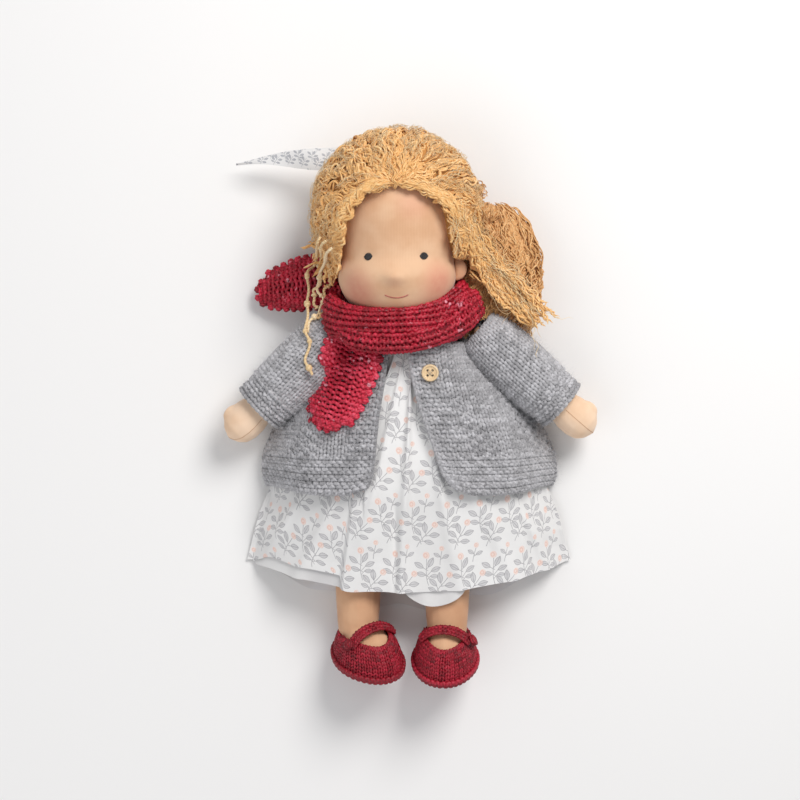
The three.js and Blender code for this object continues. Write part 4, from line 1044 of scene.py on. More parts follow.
def cloth_piece(name, g, n, flat, keep=None, mats=None, thick=THICK):
    """A thin closed sheet: its outside, its inside and the turned edge between them."""
    cols, rows = g.shape[:2]
    thick = np.broadcast_to(np.asarray(thick, float), (cols, rows))[..., None]
    top, under = g.reshape(-1, 3), (g - n * thick).reshape(-1, 3)
    quads = lattice(cols, rows)
    if keep is not None:
        quads = quads[keep.reshape(-1)[quads].all(1)]
    up_side = top[quads]
    facing = np.cross(up_side[:, 1] - up_side[:, 0], up_side[:, 3] - up_side[:, 0])
    if (facing * n.reshape(-1, 3)[quads[:, 0]]).sum() < 0:
        quads = quads[:, ::-1]
    count = cols * rows
    pairs = np.concatenate([quads[:, [0, 1]], quads[:, [1, 2]], quads[:, [2, 3]], quads[:, [3, 0]]])
    key = np.sort(pairs, 1)
    key = key[:, 0].astype(np.int64) * count + key[:, 1]
    _, first, uses = np.unique(key, return_index=True, return_counts=True)
    rim = pairs[first[uses == 1]]
    edge = np.stack([rim[:, 1], rim[:, 0], rim[:, 0] + count, rim[:, 1] + count], 1)
    f = flat.reshape(-1, 3)
    ways = np.concatenate([n.reshape(-1, 3), -n.reshape(-1, 3)])
    faces = np.concatenate([quads, edge, quads[:, ::-1] + count])
    whole = part(np.concatenate([top, under]), faces, flat=np.concatenate([f, f]))
    used = np.zeros(2 * count, bool)
    used[whole["q"].ravel()] = True
    obj = make(name, compact(whole), mats or [print_cotton, plain_cotton], normals=ways[used])
    index = np.zeros(len(whole["q"]), np.int32)
    index[len(quads) + len(edge) :] = 1
    obj.data.polygons.foreach_set("material_index", index)
    return obj


def yields_to_hip(obj, side):
    """The piece gets a mesh of its own."""
    side + "_hip"
    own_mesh(obj)


dress_keep = ~inside_head(dress, 0.6) & ~in_sleeve(dress, 0.6)
hip_mid = -8.5
upper = dress[..., 1] > SPLIT_Y - 1.2
lower = dress[..., 1] < SPLIT_Y + 0.8
right_of = dress[..., 0] > hip_mid - 0.9
left_of = dress[..., 0] < hip_mid + 0.9
# The pieces meet flush: each one thins out towards the line where it meets the next.
far_y = np.abs(dress[..., 1] - SPLIT_Y)
far_x = np.where(dress[..., 1] < SPLIT_Y + 3, np.abs(dress[..., 0] - hip_mid), 9.0)
thin = 0.03 + (THICK - 0.03) * smooth((np.minimum(far_y, far_x) - 1.6) / 3.0)
dress_fronts = (
    ("bodice", upper, 0.0),
    ("skirt_left", lower & right_of, 0.05),
    ("skirt_right", lower & left_of, 0.025),
)
for name, mask, over in dress_fronts:
    obj = cloth_piece(
        "dress_front_" + name, dress + dress_n * over, dress_n, dress_flat, dress_keep & mask, thick=thin
    )
    settle(obj, "torso", "dress_front")
    if name == "bodice":
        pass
    else:
        "leg_%s_form" % name[6:]
        yields_to_hip(obj, name[6:])

# The lining shows below the printed layer, in painted shade.
linings = (
    ("right", -122.5, -38.0, 0.0, (0.088, 0.03)),
    ("left", -6.5, 36.0, 11.0, (0.044, 0.042)),
)
for side, x0, x1, drop, flat in linings:
    inside = (x[:, 0] > x0) & (x[:, 0] < x1)
    band = 34
    lx, ly, lz = x[inside, :band], lining_y[inside, :band], lining_z[inside, :band].copy()
    t = np.clip((lx - x0) / (x1 - x0), 0, 1)
    fall = (1 - np.arange(band) / (band - 1.0))[None] ** 1.5
    ly = ly - drop * np.clip(np.sin(t * math.pi), 0, 1) ** 0.7 * fall
    lz = lz - (1.2 + 0.8 * np.sin(t * 14)) * fall * (drop > 0)
    g = np.stack([lx, ly, lz], -1)
    n = lattice_normals(g)
    n *= np.sign(n[len(g) // 2, band // 2, 2])
    obj = cloth_piece("dress_lining_" + side, g, n, g * [1, 1, 0], None, [lining_cotton_shaded, lining_cotton_shaded], 0.35)
    settle(obj, "torso", "dress_front")
    yields_to_hip(obj, side)

# Dress back: it lies flat, and its plain inside shows below the front's hem.
u = np.linspace(-1, 1, 200)[:, None]
v = np.linspace(0, 1, 120)[None]
y = -146.0 + 189.0 * v
bow = 35.0 * np.abs(u) ** 1.6 * (1 - v) ** 2
x = BODY_X + u * dress_half(y + bow)
y = y + bow
near = (1 - v) ** 4
z = back_low(y) + 1.0 + near * (1.6 + 1.6 * np.cos(u * 16.0 + 0.8) * (1 - u**2)) + 0 * x
y = y + near * 3.0 * np.cos(u * 16.0 + 0.8) * (1 - u**2)
back = np.stack([x, y, z], -1)
back_n = -lattice_normals(back)
back_n *= -np.sign(back_n[100, 60, 2])
back_flat = np.stack([x, y, 0 * x], -1)
obj = cloth_piece("dress_back_panel", back, back_n, back_flat, ~in_sleeve(back, 0.6))
settle(obj, "torso", "dress_back")

# Neck band of the dress.
a = circle(160)[:, None]
b = circle(14)[None]
rad = 18.6 + 0.25 * np.sin(a * 46) + 1.5 * np.cos(b)
g = np.stack([HEAD_X + rad * np.sin(a), 53.6 + 1.9 * np.sin(b) + 0 * a, HEAD_Z + rad * np.cos(a)], -1)
obj = make("neck_band", grid(g, True, True, flat=(g * [1, 1, 0]).reshape(-1, 3)), print_cotton)
settle(obj, "torso", "dress_neckband")


# Cardigan fronts: stitches of one width, cut off where the side ends.
STITCH = 5.1
HEM_ROWS, HEM_TALL, MAIN_ROWS = 10, 25.0, 26


def hem_shape(p, side):
    """Lifts the outer end of the hem and rounds its corner."""
    way = WAYS[side]
    out = way * (p[..., 0] - BODY_X) / cardigan_half(p[..., 1])
    low = np.clip(front_share(p[..., 1]), 0, 1)
    q = p.copy()
    q[..., 1] += 5.0 * smooth((out - 0.6) / 0.4) * low**4
    q[..., 0] -= way * 3.5 * smooth((out - 0.75) / 0.25) * low**10
    near = way * (p[..., 0] - front_edge(side, p[..., 1]))
    q[..., 1] += 4.0 * smooth((14.0 - near) / 14.0) * low**8
    return q


for side in WAYS:
    way = WAYS[side]
    rows = HEM_ROWS + MAIN_ROWS
    lines, reach_of = [], []
    for r in np.linspace(0, rows, 110):
        y = CARDIGAN_HEM + np.interp(r, [0, HEM_ROWS, rows], [0, HEM_TALL, FRONT_TALL])
        x = np.linspace(front_edge(side, y), BODY_X + way * cardigan_half(y), 260)
        z = cardigan_low(x, y) + 1.7
        aside = np.abs(x - BODY_X)
        swell = smooth((aside - 25) / 25) * smooth((cardigan_half(y) - aside) / 22) * smooth((30 - y) / 50)
        z = z + swell * (1.0 + 1.5 * np.sin((x - BODY_X) * way / 8.5 + y / 50.0))
        line = np.stack([x, y + 0 * x, z], 1)
        reach_of.append(length_of(line))
        lines.append(line)
    longest = max(reach_of)
    stitches = int(longest / STITCH)
    count = 200
    g = np.empty((count, len(lines), 3))
    for j, line in enumerate(lines):
        s = np.concatenate([[0], np.cumsum(np.linalg.norm(np.diff(line, axis=0), axis=1))])
        want = np.linspace(0, longest, count)
        for k in range(3):
            g[:, j, k] = np.interp(want, s, line[:, k])
        beyond = np.maximum(want - s[-1], 0)
        g[:, j, 0] += beyond * way * 0.3
    g = hem_shape(g, side)
    surf = Surf(g, out=np.array([0, 0, 1.0]))

    def panel_keep(p):
        low = np.clip(front_share(p[..., 1]), 0, 1)
        rim = cardigan_half(p[..., 1]) + 0.6 - 3.5 * smooth((low - 0.84) / 0.16) ** 2
        within = way * (p[..., 0] - BODY_X) < rim
        return within & ~in_sleeve(p, 0.9) & ~inside_head(p, 1.0) & (p[..., 2] > 0.8)

    def panel_face(row, place):
        garter = (row < HEM_ROWS) | (place < 4.0)
        moss = (np.sin(place * 0.55 + row * 0.2 + (2.0 if way > 0 else 0.0)) > 0.1) & (row < HEM_ROWS + 15)
        ridge = np.where(np.floor(row) % 2 > 0.5, 1.0, -0.8)
        seed_stitch = np.where((np.floor(row) + np.floor(place)) % 2 > 0.5, 1.0, -1.0)
        return np.where(garter, ridge, np.where(moss, seed_stitch, -1.0))

    def panel_relief(row, place):
        garter = (row < HEM_ROWS) | (place < 4.0)
        return np.where(garter, np.where(np.floor(row) % 2 > 0.5, 0.4, -0.1), 0.0)

    ly = np.linspace(-60, 44, 120)
    edge = np.stack([front_edge(side, ly), ly, cardigan_low(front_edge(side, ly), ly) + 1.8], 1)
    lip = hem_shape(edge, side)
    lip[:, 0] -= way * 0.2
    lip[:, 2] += 0.5 * np.sin(np.arange(120) * 1.1)
    rim_y = np.linspace(-60, 10, 90)
    rim = hem_shape(np.stack([BODY_X + way * (cardigan_half(rim_y) - 0.6), rim_y, 4.8 + 0 * rim_y], 1), side)
    shade_backing = core("cardigan_front_" + side, 1.35)
    shade_backing["v"] = hem_shape(shade_backing["v"], side)
    pieces = [
        shade_backing,
        knit(surf, stitches, rows, panel_face, yarn=1.42, depth=0.95, seed=21, mat=1, keep=panel_keep,
             relief=panel_relief),
        tube([lip], 1.4, 8, mat=1, keep=panel_keep(lip + [way * 1.0, 0, 0])[None]),
        tube([rim], 1.6, 8, mat=1, keep=panel_keep(rim - [way * 2.5, 0, 0])[None]),
        fuzz(surf, 17000, 6.0, 0.05, seed=22, mat=2, keep=panel_keep),
    ]
    obj = make("cardigan_front_knit_" + side, pieces, MOHAIR)
    settle(obj, "torso", "cardigan_front_" + side)

# Cardigan back: it lies under the doll.
u = np.linspace(-1, 1, 60)[:, None]
v = np.linspace(0, 1, 60)[None]
y = CARDIGAN_HEM + CARDIGAN_TALL * v
g = np.stack([BODY_X + u * cardigan_half(y), y + 0 * u, 1.9 + 0 * u * v], -1)
back_core = core("cardigan_back", 0.7)
for half in (g, back_core["v"]):
    for side, way in WAYS.items():
        one = way * (half[..., 0] - BODY_X) > 0
        half[one] = hem_shape(half[one], side)
surf = Surf(g, out=np.array([0, 0, 1.0]))
obj = make(
    "cardigan_back_knit",
    [
        back_core,
        knit(surf, 52, 46, ribs(1.0, -1.0), yarn=0.95, depth=0.35,
             steps=8, sides=4, seed=31, mat=1, keep=lambda p: ~in_sleeve(p, 0.9)),
        fuzz(surf, 2500, 4.0, 0.045, seed=32, mat=2, keep=lambda p: np.abs(p[:, 0] - BODY_X) > 80),
    ],
    MOHAIR,
)
settle(obj, "torso", "cardigan_back")


# Scarf.
def roll_surf(centre, tangent, wide_way, half_wide, half_thick, around=72):
    thick = unit(np.cross(tangent, wide_way))
    wide = unit(np.cross(thick, tangent))
    a = circle(around)
    ring = wide[:, None] * (half_wide[:, None] * np.cos(a))[..., None] + thick[:, None] * (
        half_thick[:, None] * np.sin(a)
    )[..., None]
    return centre[:, None] + ring, ring


def wound(points, count, closed):
    line = spline(points, count, closed)
    if closed:
        tangent = unit(np.roll(line, -1, 0) - np.roll(line, 1, 0))
    else:
        tangent = unit(np.gradient(line, axis=0))
    return line, tangent


def round_neck(x, y, z):
    """Points round the neck, as shares of the wrap's half width, height and half depth."""
    return np.stack([HEAD_X + 46 * np.array(x), 53 + 20 * np.array(y), HEAD_Z + 28 * np.array(z)], 1)


wrap_marks = round_neck(
    [0, -0.72, -1, -0.74, 0, 0.74, 1, 0.72],
    [0.22, 0.26, 0.52, 0.72, 0.85, 0.8, 0.66, 0.24],
    [1, 0.66, 0, -0.72, -0.98, -0.72, 0, 0.66],
)
line, tangent = wound(wrap_marks, 260, True)
s = np.arange(260) / 260
# It stands higher at both ends than the roll inside it.
climb = np.interp(s * 8, np.arange(9), [0.0, 0.5, 3.0, 4.0, 1.0, 5.0, 6.4, 3.2, 0.0])
climb = evened(climb, 20, "wrap")
line = line + np.stack([0 * s, climb, 0 * s], 1)
wide = 30 * 0.37 - 0.9 + climb
thick = 7.5 - 1.8 * np.sin(s * math.pi) ** 2 - 0.9
g, ring = roll_surf(line, tangent, np.array([0, 1.0, 0]), wide, thick)
g, ring = np.roll(g, 18, 1), np.roll(ring, 18, 1)
wrap_surf = Surf(np.concatenate([g, g[:, :1]], 1), True, out=np.concatenate([ring, ring[:, :1]], 1))


def scarf_keep(p):
    return ~inside_head(p, 0.3) & ~in_sleeve(p, 0.6) & (p[..., 2] > 0.9)


bumps, ridges = plain_face(1.0), ribs(1.0, 0.6)
pieces = [
    core("scarf_wrap", 1.5),
    knit(wrap_surf, 50, 17, bumps, yarn=1.5, depth=1.05, reach=0.6, seed=41, mat=1, keep=scarf_keep),
    fuzz(wrap_surf, 2500, 2.6, 0.04, seed=42, mat=2, keep=scarf_keep),
]
obj = make("scarf_wrap_knit", pieces, WINE)
settle(obj, "torso", "scarf_wrap")

fold_marks = round_neck(
    [-0.95, -0.55, 0, 0.5, 0.95, 1.28],
    [0.3, -0.2, -0.3, -0.08, 0.4, 0.92],
    [0.42, 0.86, 1.06, 0.92, 0.55, 0.05],
)
line, tangent = wound(fold_marks, 160, False)
s = np.linspace(0, 1, 160)
ends = 0.45 + 0.55 * np.minimum(1, np.sin(s * math.pi) * 2.2)
climb = 4.5 * smooth((s - 0.62) / 0.3)
line = line + np.stack([0 * s, climb, 0 * s], 1)
g, ring = roll_surf(line, tangent, np.array([0, 1.0, 0]), 8.4 * ends - 0.7 + climb, 6 * ends - 0.8)


class Wound(Surf):
    """A surface whose second way closes on itself."""

    def __init__(self, g, ring):
        super().__init__(np.concatenate([g, g[:, :1]], 1), False, out=np.concatenate([ring, ring[:, :1]], 1))


fold_surf = Wound(g, ring)
pieces = [
    core("scarf_fold", 1.4),
    knit(fold_surf, 25, 11, bumps, yarn=1.45, depth=1.0, reach=0.6, seed=43, mat=1,
         keep=lambda p: scarf_keep(p) & (p[..., 2] > 30)),
    fuzz(fold_surf, 1200, 2.6, 0.04, seed=44, mat=2, keep=scarf_keep),
]
obj = make("scarf_fold_knit", pieces, WINE)
settle(obj, "torso", "scarf_fold")


def bobbles(points, radius, seed, mat=1):
    """Small knots of yarn, each a short coil wound into a ball."""
    r = np.random.default_rng(seed)
    t = np.linspace(0, 1, 40)
    lines = []
    for p in points:
        turn = r.uniform(0, TAU)
        size = radius * r.uniform(0.85, 1.2)
        a = t * TAU * 3 + turn
        w = np.sin(t * math.pi * 0.94 + 0.1)
        ball = np.stack([np.cos(a) * w, np.cos(t * math.pi) * 0.9, np.sin(a) * w * 0.85], 1)
        spin = r.uniform(-0.6, 0.6)
        c, s2 = math.cos(spin), math.sin(spin)
        ball = ball @ np.array([[c, s2, 0], [-s2, c, 0], [0, 0, 1]])
        lines.append(p + ball * size * 0.68)
    return tube(np.array(lines), radius * 0.42, 6, mat=mat)


def strip_surf(start, end, half_at, shift_at, low, thickness, steps=90):
    """A hanging end as a flat roll that lies on what is under it."""
    start, end = np.array(start, float), np.array(end, float)
    way = end - start
    square = np.array([-way[1], way[0]]) / np.hypot(*way)
    s = np.linspace(0, 1, steps)[:, None]
    a = circle(60)[None]
    off = shift_at(s) + (half_at(s) + 0.6 * np.sin(s * 26.0)) * np.sign(np.cos(a)) * np.abs(np.cos(a)) ** 0.8
    x = start[0] + way[0] * s + square[0] * off
    y = start[1] + way[1] * s + square[1] * off
    under = low(x, y, s)
    for _ in range(3):
        # The strip bridges the steps of what is under it.
        bridge = 0.5 * (np.roll(under, 6, 0) + np.roll(under, -6, 0)) * (s > 0.08) * (s < 0.92)
        under = np.maximum(under, bridge)
    under = np.apply_along_axis(evened, 0, under, 6)
    z = np.maximum(under, low(x, y, s)) + thickness * 0.5 + thickness * 0.42 * np.sin(a)
    g = np.stack([x, y, z], -1)
    middle = np.stack([x.mean(1), y.mean(1), z.mean(1)], -1)[:, None]
    return Wound(g, g - middle), way, square


def rest_top(x, y):
    top = cardigan_low(x, y) + 3.0
    for at in SHOULDERS.values():
        flat = (x - at[0]) ** 2 + (y - at[1]) ** 2
        top = np.maximum(top, np.where(flat < 21.5**2, at[2] + np.sqrt(np.maximum(21.5**2 - flat, 0)), 0))
    return top


def side_low(x):
    t = np.clip((-54.0 - x) / 54.0, 0, 1)
    return 41.0 + (7.0 - 41.0) * t**0.7


tails = {
    "front": (
        (-44, 52), (-66, -12), lambda x, y, s: rest_top(x, y) + 0.9, 9, 19,
        [16, 19.5, 19.5, 18, 17, 15, 4.5], [3, 5, 5, 5, 4.5, 4, 2.5],
    ),
    "side": (
        (-50, 88), (-112, 84), lambda x, y, s: side_low(x), 9, 18,
        [16, 17.5, 17.5, 16, 14, 11.5, 5], [-3, -3.5, -3.5, -3, -2, -1, 1],
    ),
}
for name, (start, end, low, stitches, rows, halves, shifts) in tails.items():
    marks = [0, 0.2, 0.4, 0.6, 0.75, 0.88, 1.0]
    half_at = lambda s: np.interp(s, marks, halves)
    shift_at = lambda s: np.interp(s, marks, shifts)
    surf, way, square = strip_surf(start, end, half_at, shift_at, low, 5.4)
    turned_g = np.swapaxes(surf.g, 0, 1)
    across = Surf(turned_g, False, out=np.swapaxes(surf.n, 0, 1))
    keep = lambda p: ~inside_head(p, 0.3)
    knots = []
    for k in range(11):
        s = (k + 0.7) / 11
        for edge in (-1, 1):
            c = np.array(start) + way * s + square * (shift_at(s) + edge * (half_at(s) + 1.0))
            knots.append([c[0], c[1], float(low(c[0], c[1], s)) + 2.6])
    for k in (-0.6, 0.6):
        c = np.array(end, float) + way / np.hypot(*way) * 1.6 + square * (shift_at(1.0) + k * half_at(1.0))
        knots.append([c[0], c[1], float(low(c[0], c[1], 1.0)) + 2.4])
    pieces = [
        core("scarf_tail_" + name, 1.8),
        knit(across, stitches * 2, rows, ridges, yarn=1.3, depth=0.85, seed=45, mat=1, keep=keep),
        bobbles(knots, 2.7, 46),
        fuzz(surf, 900, 2.6, 0.04, seed=47, mat=2),
    ]
    # The front tail takes the wine in painted light.
    obj = make("scarf_tail_%s_knit" % name, pieces, WINE_PAINTED_LIT if name == "front" else WINE)
    settle(obj, "torso", "scarf_tail_" + name)
    if name == "front":
        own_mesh(obj)
    else:
        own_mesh(obj)


# Shoes: half the width, half the length and the height of their form, how it falls to the toe, its middle,
# and how far along and how high the strap's ends lie.
FOOT_HALF, FOOT_LONG, FOOT_TALL, FOOT_FALL, FOOT_MID = 22.4, 31.0, 31.0, 0.14, 13.0
STRAP_Y, STRAP_Z = 19.0, 19.0


def foot_frame(side):
    way, yaw, lean = WAYS[side], math.radians(YAW[side]), math.radians(27.0)
    toe = np.array([0, -math.sin(lean), math.cos(lean)])
    sole = np.array([0, -math.cos(lean), -math.sin(lean)])
    a = -yaw if way < 0 else yaw
    toe = toe * math.cos(a) + np.cross(sole, toe) * math.sin(a) + sole * (sole @ toe) * (1 - math.cos(a))
    instep = -sole
    across = np.cross(toe, instep)
    origin = np.array(HIPS[side]) + [0, -71.0, 0] + sole * 14.0
    return origin, np.stack([across, toe, instep])


def foot_point(s, grow=0.0):
    """The shoe's form at a direction s, in the foot's own frame."""
    t = (s[..., 1] + 1) / 2
    wide = (FOOT_HALF + grow) * (0.9 + 0.1 * np.sin(t * math.pi))
    tall = (FOOT_TALL + grow) * (1 - FOOT_FALL * t)
    z = np.where(s[..., 2] > 0, s[..., 2] * tall, s[..., 2] * (4.0 + grow))
    x = np.sign(s[..., 0]) * np.abs(s[..., 0]) ** 0.9 * wide
    return np.stack([x, FOOT_MID + s[..., 1] * (FOOT_LONG + grow), z], -1)


def shoe_upper_grid(cols=140, rows=60, grow=-1.0):
    """From the sole's edge up to the rim of the opening, by even steps."""
    out = np.empty((cols, rows, 3))
    for i, a in enumerate(circle(cols)):
        beta = np.linspace(0.02, math.pi / 2, 260)
        s = np.stack([math.cos(a) * np.cos(beta), math.sin(a) * np.cos(beta)], -1)
        # The rays run to the middle of the opening, which lies towards the heel.
        s[:, 1] -= 0.29 * (1 - np.cos(beta))
        s = np.concatenate([s, np.sqrt(np.maximum(1 - (s**2).sum(-1, keepdims=True), 0.0))], -1)
        p = foot_point(s, grow)
        inside = ((p[:, 0] / 16.2) ** 2 + ((p[:, 1] - 4.0) / 28.7) ** 2 < 1) & (p[:, 2] > 15.6)
        stop = np.argmax(inside) if inside.any() else len(p)
        out[i] = even(p[: max(stop, 3)], rows)
    return out


def strap_end():
    """Where the strap's end lies on the shoe's side, and how far the side leans back there."""
    along = (STRAP_Y + FOOT_LONG - FOOT_MID) / FOOT_LONG - 1
    t = (along + 1) / 2
    wide, tall = FOOT_HALF * (0.9 + 0.1 * math.sin(t * math.pi)), FOOT_TALL * (1 - FOOT_FALL * t)
    x = wide * math.sqrt(1 - along**2 - (STRAP_Z / tall) ** 2) ** 0.9
    return x, math.atan2(STRAP_Z / tall**2, x / wide**2)


for side in WAYS:
    way = WAYS[side]
    origin, axes = foot_frame(side)
    body = "leg_" + side

    def placed(p):
        return origin + p @ axes

    local = shoe_upper_grid()
    g = placed(local)
    centre = placed(np.array([0, FOOT_MID, 8.0]))
    upper_surf = Surf(g, True, out=g - centre)
    edging = g[:, -1] + 0.4 * np.sin(np.arange(len(g)) * 1.7)[:, None] * axes[2]
    pieces = [
        core("shoe_upper_" + side, 1.3),
        knit(upper_surf, 38, 9, plain_face(-1.0), yarn=1.0, depth=0.6, lean=0.2, seed=51, mat=1),
        tube([edging], 1.15, 8, mat=1, closed=True),
        fuzz(upper_surf, 1300, 2.0, 0.035, seed=52, mat=2),
    ]
    obj = make("shoe_upper_knit_" + side, pressed(pieces), CRIMSON)
    settle(obj, body, "shoe_upper_" + side)

    # Sole: rounds of stitches from its rim to its middle.
    a = circle(120)[:, None]
    q = np.linspace(0.0, 1.0, 40)[None]
    s = np.stack([np.cos(a) * (1 - q * 0.985), np.sin(a) * (1 - q * 0.985)], -1)
    low = -np.sqrt(np.maximum(1 - (s**2).sum(-1), 0))
    p = foot_point(np.concatenate([s, low[..., None]], -1), 0.6)
    g = placed(p)
    sole_surf = Surf(g, True, out=np.broadcast_to(-axes[2], g.shape))
    rings = []
    for lift, grow in ((-1.4, 0.6), (0.7, 0.9)):
        b = circle(240)
        flat = np.stack([np.cos(b), np.sin(b), 0 * b], -1)
        ring = foot_point(flat, grow)
        ring[:, 2] = lift + 0.55 * np.sin(b * 40)
        rings.append(placed(ring))
    middle = placed(np.array([0, FOOT_MID, -4]))

    def off_middle(p):
        return np.linalg.norm((p - middle) @ axes.T * [1, 0.75, 0], axis=-1) > 3.0

    pieces = [
        core("shoe_sole_" + side, 0.8),
        knit(sole_surf, 36, 8, ribs(1.0, -1.0), yarn=0.95, depth=0.4, seed=53, mat=1, keep=off_middle),
        tube(rings, 1.45, 8, mat=1, closed=True),
    ]
    obj = make("shoe_sole_knit_" + side, pressed(pieces), CRIMSON)
    settle(obj, body, "shoe_sole_" + side)

    # Strap over the instep, drawn on the cut of the shoe's form at each step of its width.
    end_x, tilt = strap_end()
    b = circle(28)[None]
    low = math.asin(min(STRAP_Z / (FOOT_TALL * (1 - FOOT_FALL * 0.597)) / math.sqrt(1 - 0.1935**2), 1.0))
    a = np.linspace(low, math.pi - low, 110)[:, None]
    y = STRAP_Y + 3.0 * np.cos(b) + 0 * a
    sy = (y - FOOT_MID) / FOOT_LONG
    round_r = np.sqrt(1 - sy**2)
    s = np.stack([np.cos(a) * round_r, sy, np.sin(a) * round_r], -1)
    g0 = foot_point(s, 1.75)
    out = unit(g0 * [1, 0, 1] - np.array([0, 0, 2.0]))
    g = placed(g0 + out * (0.95 * np.sin(b))[..., None])
    strap_surf = Wound(g, g - g.mean(1, keepdims=True))
    pieces = [
        core("shoe_strap_" + side, 0.9),
        knit(strap_surf, 15, 6, ridges, yarn=0.95, depth=0.5, seed=54, mat=1),
        fuzz(strap_surf, 300, 1.6, 0.035, seed=55, mat=2),
    ]
    obj = make("shoe_strap_knit_" + side, pieces, CRIMSON)
    settle(obj, "strap_" + side, "shoe_strap_" + side)

    # Button: a cord wound to a round, on the outer side.
    t = np.linspace(0, 1, 150)
    rr = 3.45 * (1 - t) ** 0.8 + 0.15
    an = t * TAU * 2.6
    off = 2.6 + 0.8 + 1.2 + 1.6 * t
    nx, nz = math.cos(tilt), math.sin(tilt)
    x, z = end_x + off * nx - rr * np.sin(an) * nz, STRAP_Z + off * nz + rr * np.sin(an) * nx
    coil = np.stack([-way * x, STRAP_Y + rr * np.cos(an), z], 1)
    pieces = [core("shoe_button_" + side, 0.4), tube([placed(coil)], 0.98, 8, mat=1)]
    obj = make("shoe_button_coil_" + side, pieces, CRIMSON[:2])
    settle(obj, body, "shoe_button_" + side)

# Wooden button: turned, with a rim, four holes and a cross of thread.
wood = Paint("pale wood", 0.42, Coat_Weight=0.25)
x, y, z = wood.parts(wood.coords())
grain = wood.noise(1.0, 3, wood.node("CombineXYZ", {0: x * 3000.0, 1: y * 320.0, 2: z * 900.0}))
wood_mat = wood.finish(
    wood.ramp(grain, (0.25, "c79f6c"), (0.5, "e3c59a"), (0.8, "f1dcb8")), wood.bump(grain, 0.15, 0.0001)
)
low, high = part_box("cardigan_button")
low, high = np.array(low) / MM - SHIFT, np.array(high) / MM - SHIFT
centre = (low + high) / 2
base = low[2]
marks = [
    (0.01, 2.1), (3.6, 2.1), (4.3, 2.45), (4.8, 2.95), (5.4, 3.0),
    (5.9, 2.6), (6.05, 1.6), (5.7, 0.5), (5.0, 0.05), (0.01, 0.0),
]
prof = spline(marks, 60)
a = circle(72)[:, None]
x, y = centre[0] + prof[:, 0] * np.cos(a), centre[1] + prof[:, 0] * np.sin(a)
g = np.stack([x, y, base + prof[:, 1] + 0 * a], -1)
button = make("wooden_button", grid(g, True, False), wood_mat)
HOLE, HOLES_OUT = 0.85, 1.75 * math.sqrt(2) * 0.72
holes, spots = [], []
for k in range(4):
    an = math.pi / 4 + k * math.pi / 2
    c = centre[:2] + HOLES_OUT * np.array([math.cos(an), math.sin(an)]) * 1.35
    spots.append(c)
    n = 20
    bb = circle(n)[:, None]
    zz = np.array([-1.0, 5.0])[None]
    x, y = c[0] + HOLE * np.cos(bb) + 0 * zz, c[1] + HOLE * np.sin(bb) + 0 * zz
    cyl = np.stack([x, y, base + zz + 0 * bb], -1)
    v = np.concatenate([cyl.reshape(-1, 3), [[c[0], c[1], base - 1.0], [c[0], c[1], base + 5.0]]])
    k2 = np.arange(n)
    tris = np.concatenate([
        np.stack([np.full(n, 2 * n), (k2 + 1) % n * 2, k2 * 2], 1),
        np.stack([np.full(n, 2 * n + 1), k2 * 2 + 1, (k2 + 1) % n * 2 + 1], 1),
    ])
    holes.append(part(v, lattice(n, 2, True, False), tris))
cutter = make("hole_cutter", holes, wood_mat)
m = button.modifiers.new("holes", "BOOLEAN")
m.operation, m.object, m.solver = "DIFFERENCE", cutter, "EXACT"
cut = bpy.data.meshes.new_from_object(button.evaluated_get(bpy.context.evaluated_depsgraph_get()))
button.modifiers.clear()
button.data = cut
bpy.data.objects.remove(cutter)
settle(button, "torso", "cardigan_button")
cords = []
for i, j in ((0, 2), (1, 3)):
    s = np.linspace(0, 1, 14)[:, None]
    for off in (-0.19, 0.19):
        line = spots[i] * (1 - s) + spots[j] * s
        side_way = np.array([-(spots[j] - spots[i])[1], (spots[j] - spots[i])[0]])
        line = line + unit(side_way) * off
        z = base + 2.1 + 0.5 + (0.3 if i else 0.0) - 1.6 * np.abs(2 * s - 1) ** 10
        cords.append(np.concatenate([line, z], 1))
cross = make("button_cross", tube(cords, 0.2, 6), plain_paint("button thread", "d9c3a4"))
settle(cross, "torso", "button_thread")


# Hair.
CAP = np.array([HEAD_X - 0.4, 138.0, 47.0])
CAP_R = np.array([58.0, 58.0, 48.0])
PART = np.array([HEAD_X - 1.5, 151.0, 93.0])


def on_cap(p):
    """Brings points onto the cap's round."""
    d = (p - CAP) / CAP_R
    return CAP + d / np.maximum(np.linalg.norm(d, axis=-1, keepdims=True), 1e-6) * CAP_R


def cap_top(x, y):
    return CAP[2] + CAP_R[2] * np.sqrt(
        np.maximum(1 - ((x - CAP[0]) / CAP_R[0]) ** 2 - ((y - CAP[1]) / CAP_R[1]) ** 2, 0)
    ) * (np.hypot((x - CAP[0]) / CAP_R[0], (y - CAP[1]) / CAP_R[1]) < 1)


def head_top(x, y):
    r = head_radius(y)
    return np.where(np.abs(x - HEAD_X) < r, HEAD_Z + np.sqrt(np.maximum(r**2 - (x - HEAD_X) ** 2, 0)), 0)


def opening(x, y, grow=0.0):
    """Less than 1 inside the face's opening in the hair, which is squarer than an ellipse."""
    return np.abs((x - HEAD_X) / (41.0 + grow)) ** 2.6 + np.abs((y - 80.0) / (71.0 + grow)) ** 2.6


def face_side(p, grow=0.0):
    return (opening(p[..., 0], p[..., 1], grow) < 1) & (p[..., 2] > 46.0)


def over_ear(p):
    beside = np.abs(np.abs(p[..., 0] - HEAD_X) - 44.0) < 7.5
    return beside & (p[..., 1] < 105) & (p[..., 2] > 30) & (p[..., 0] > 0)


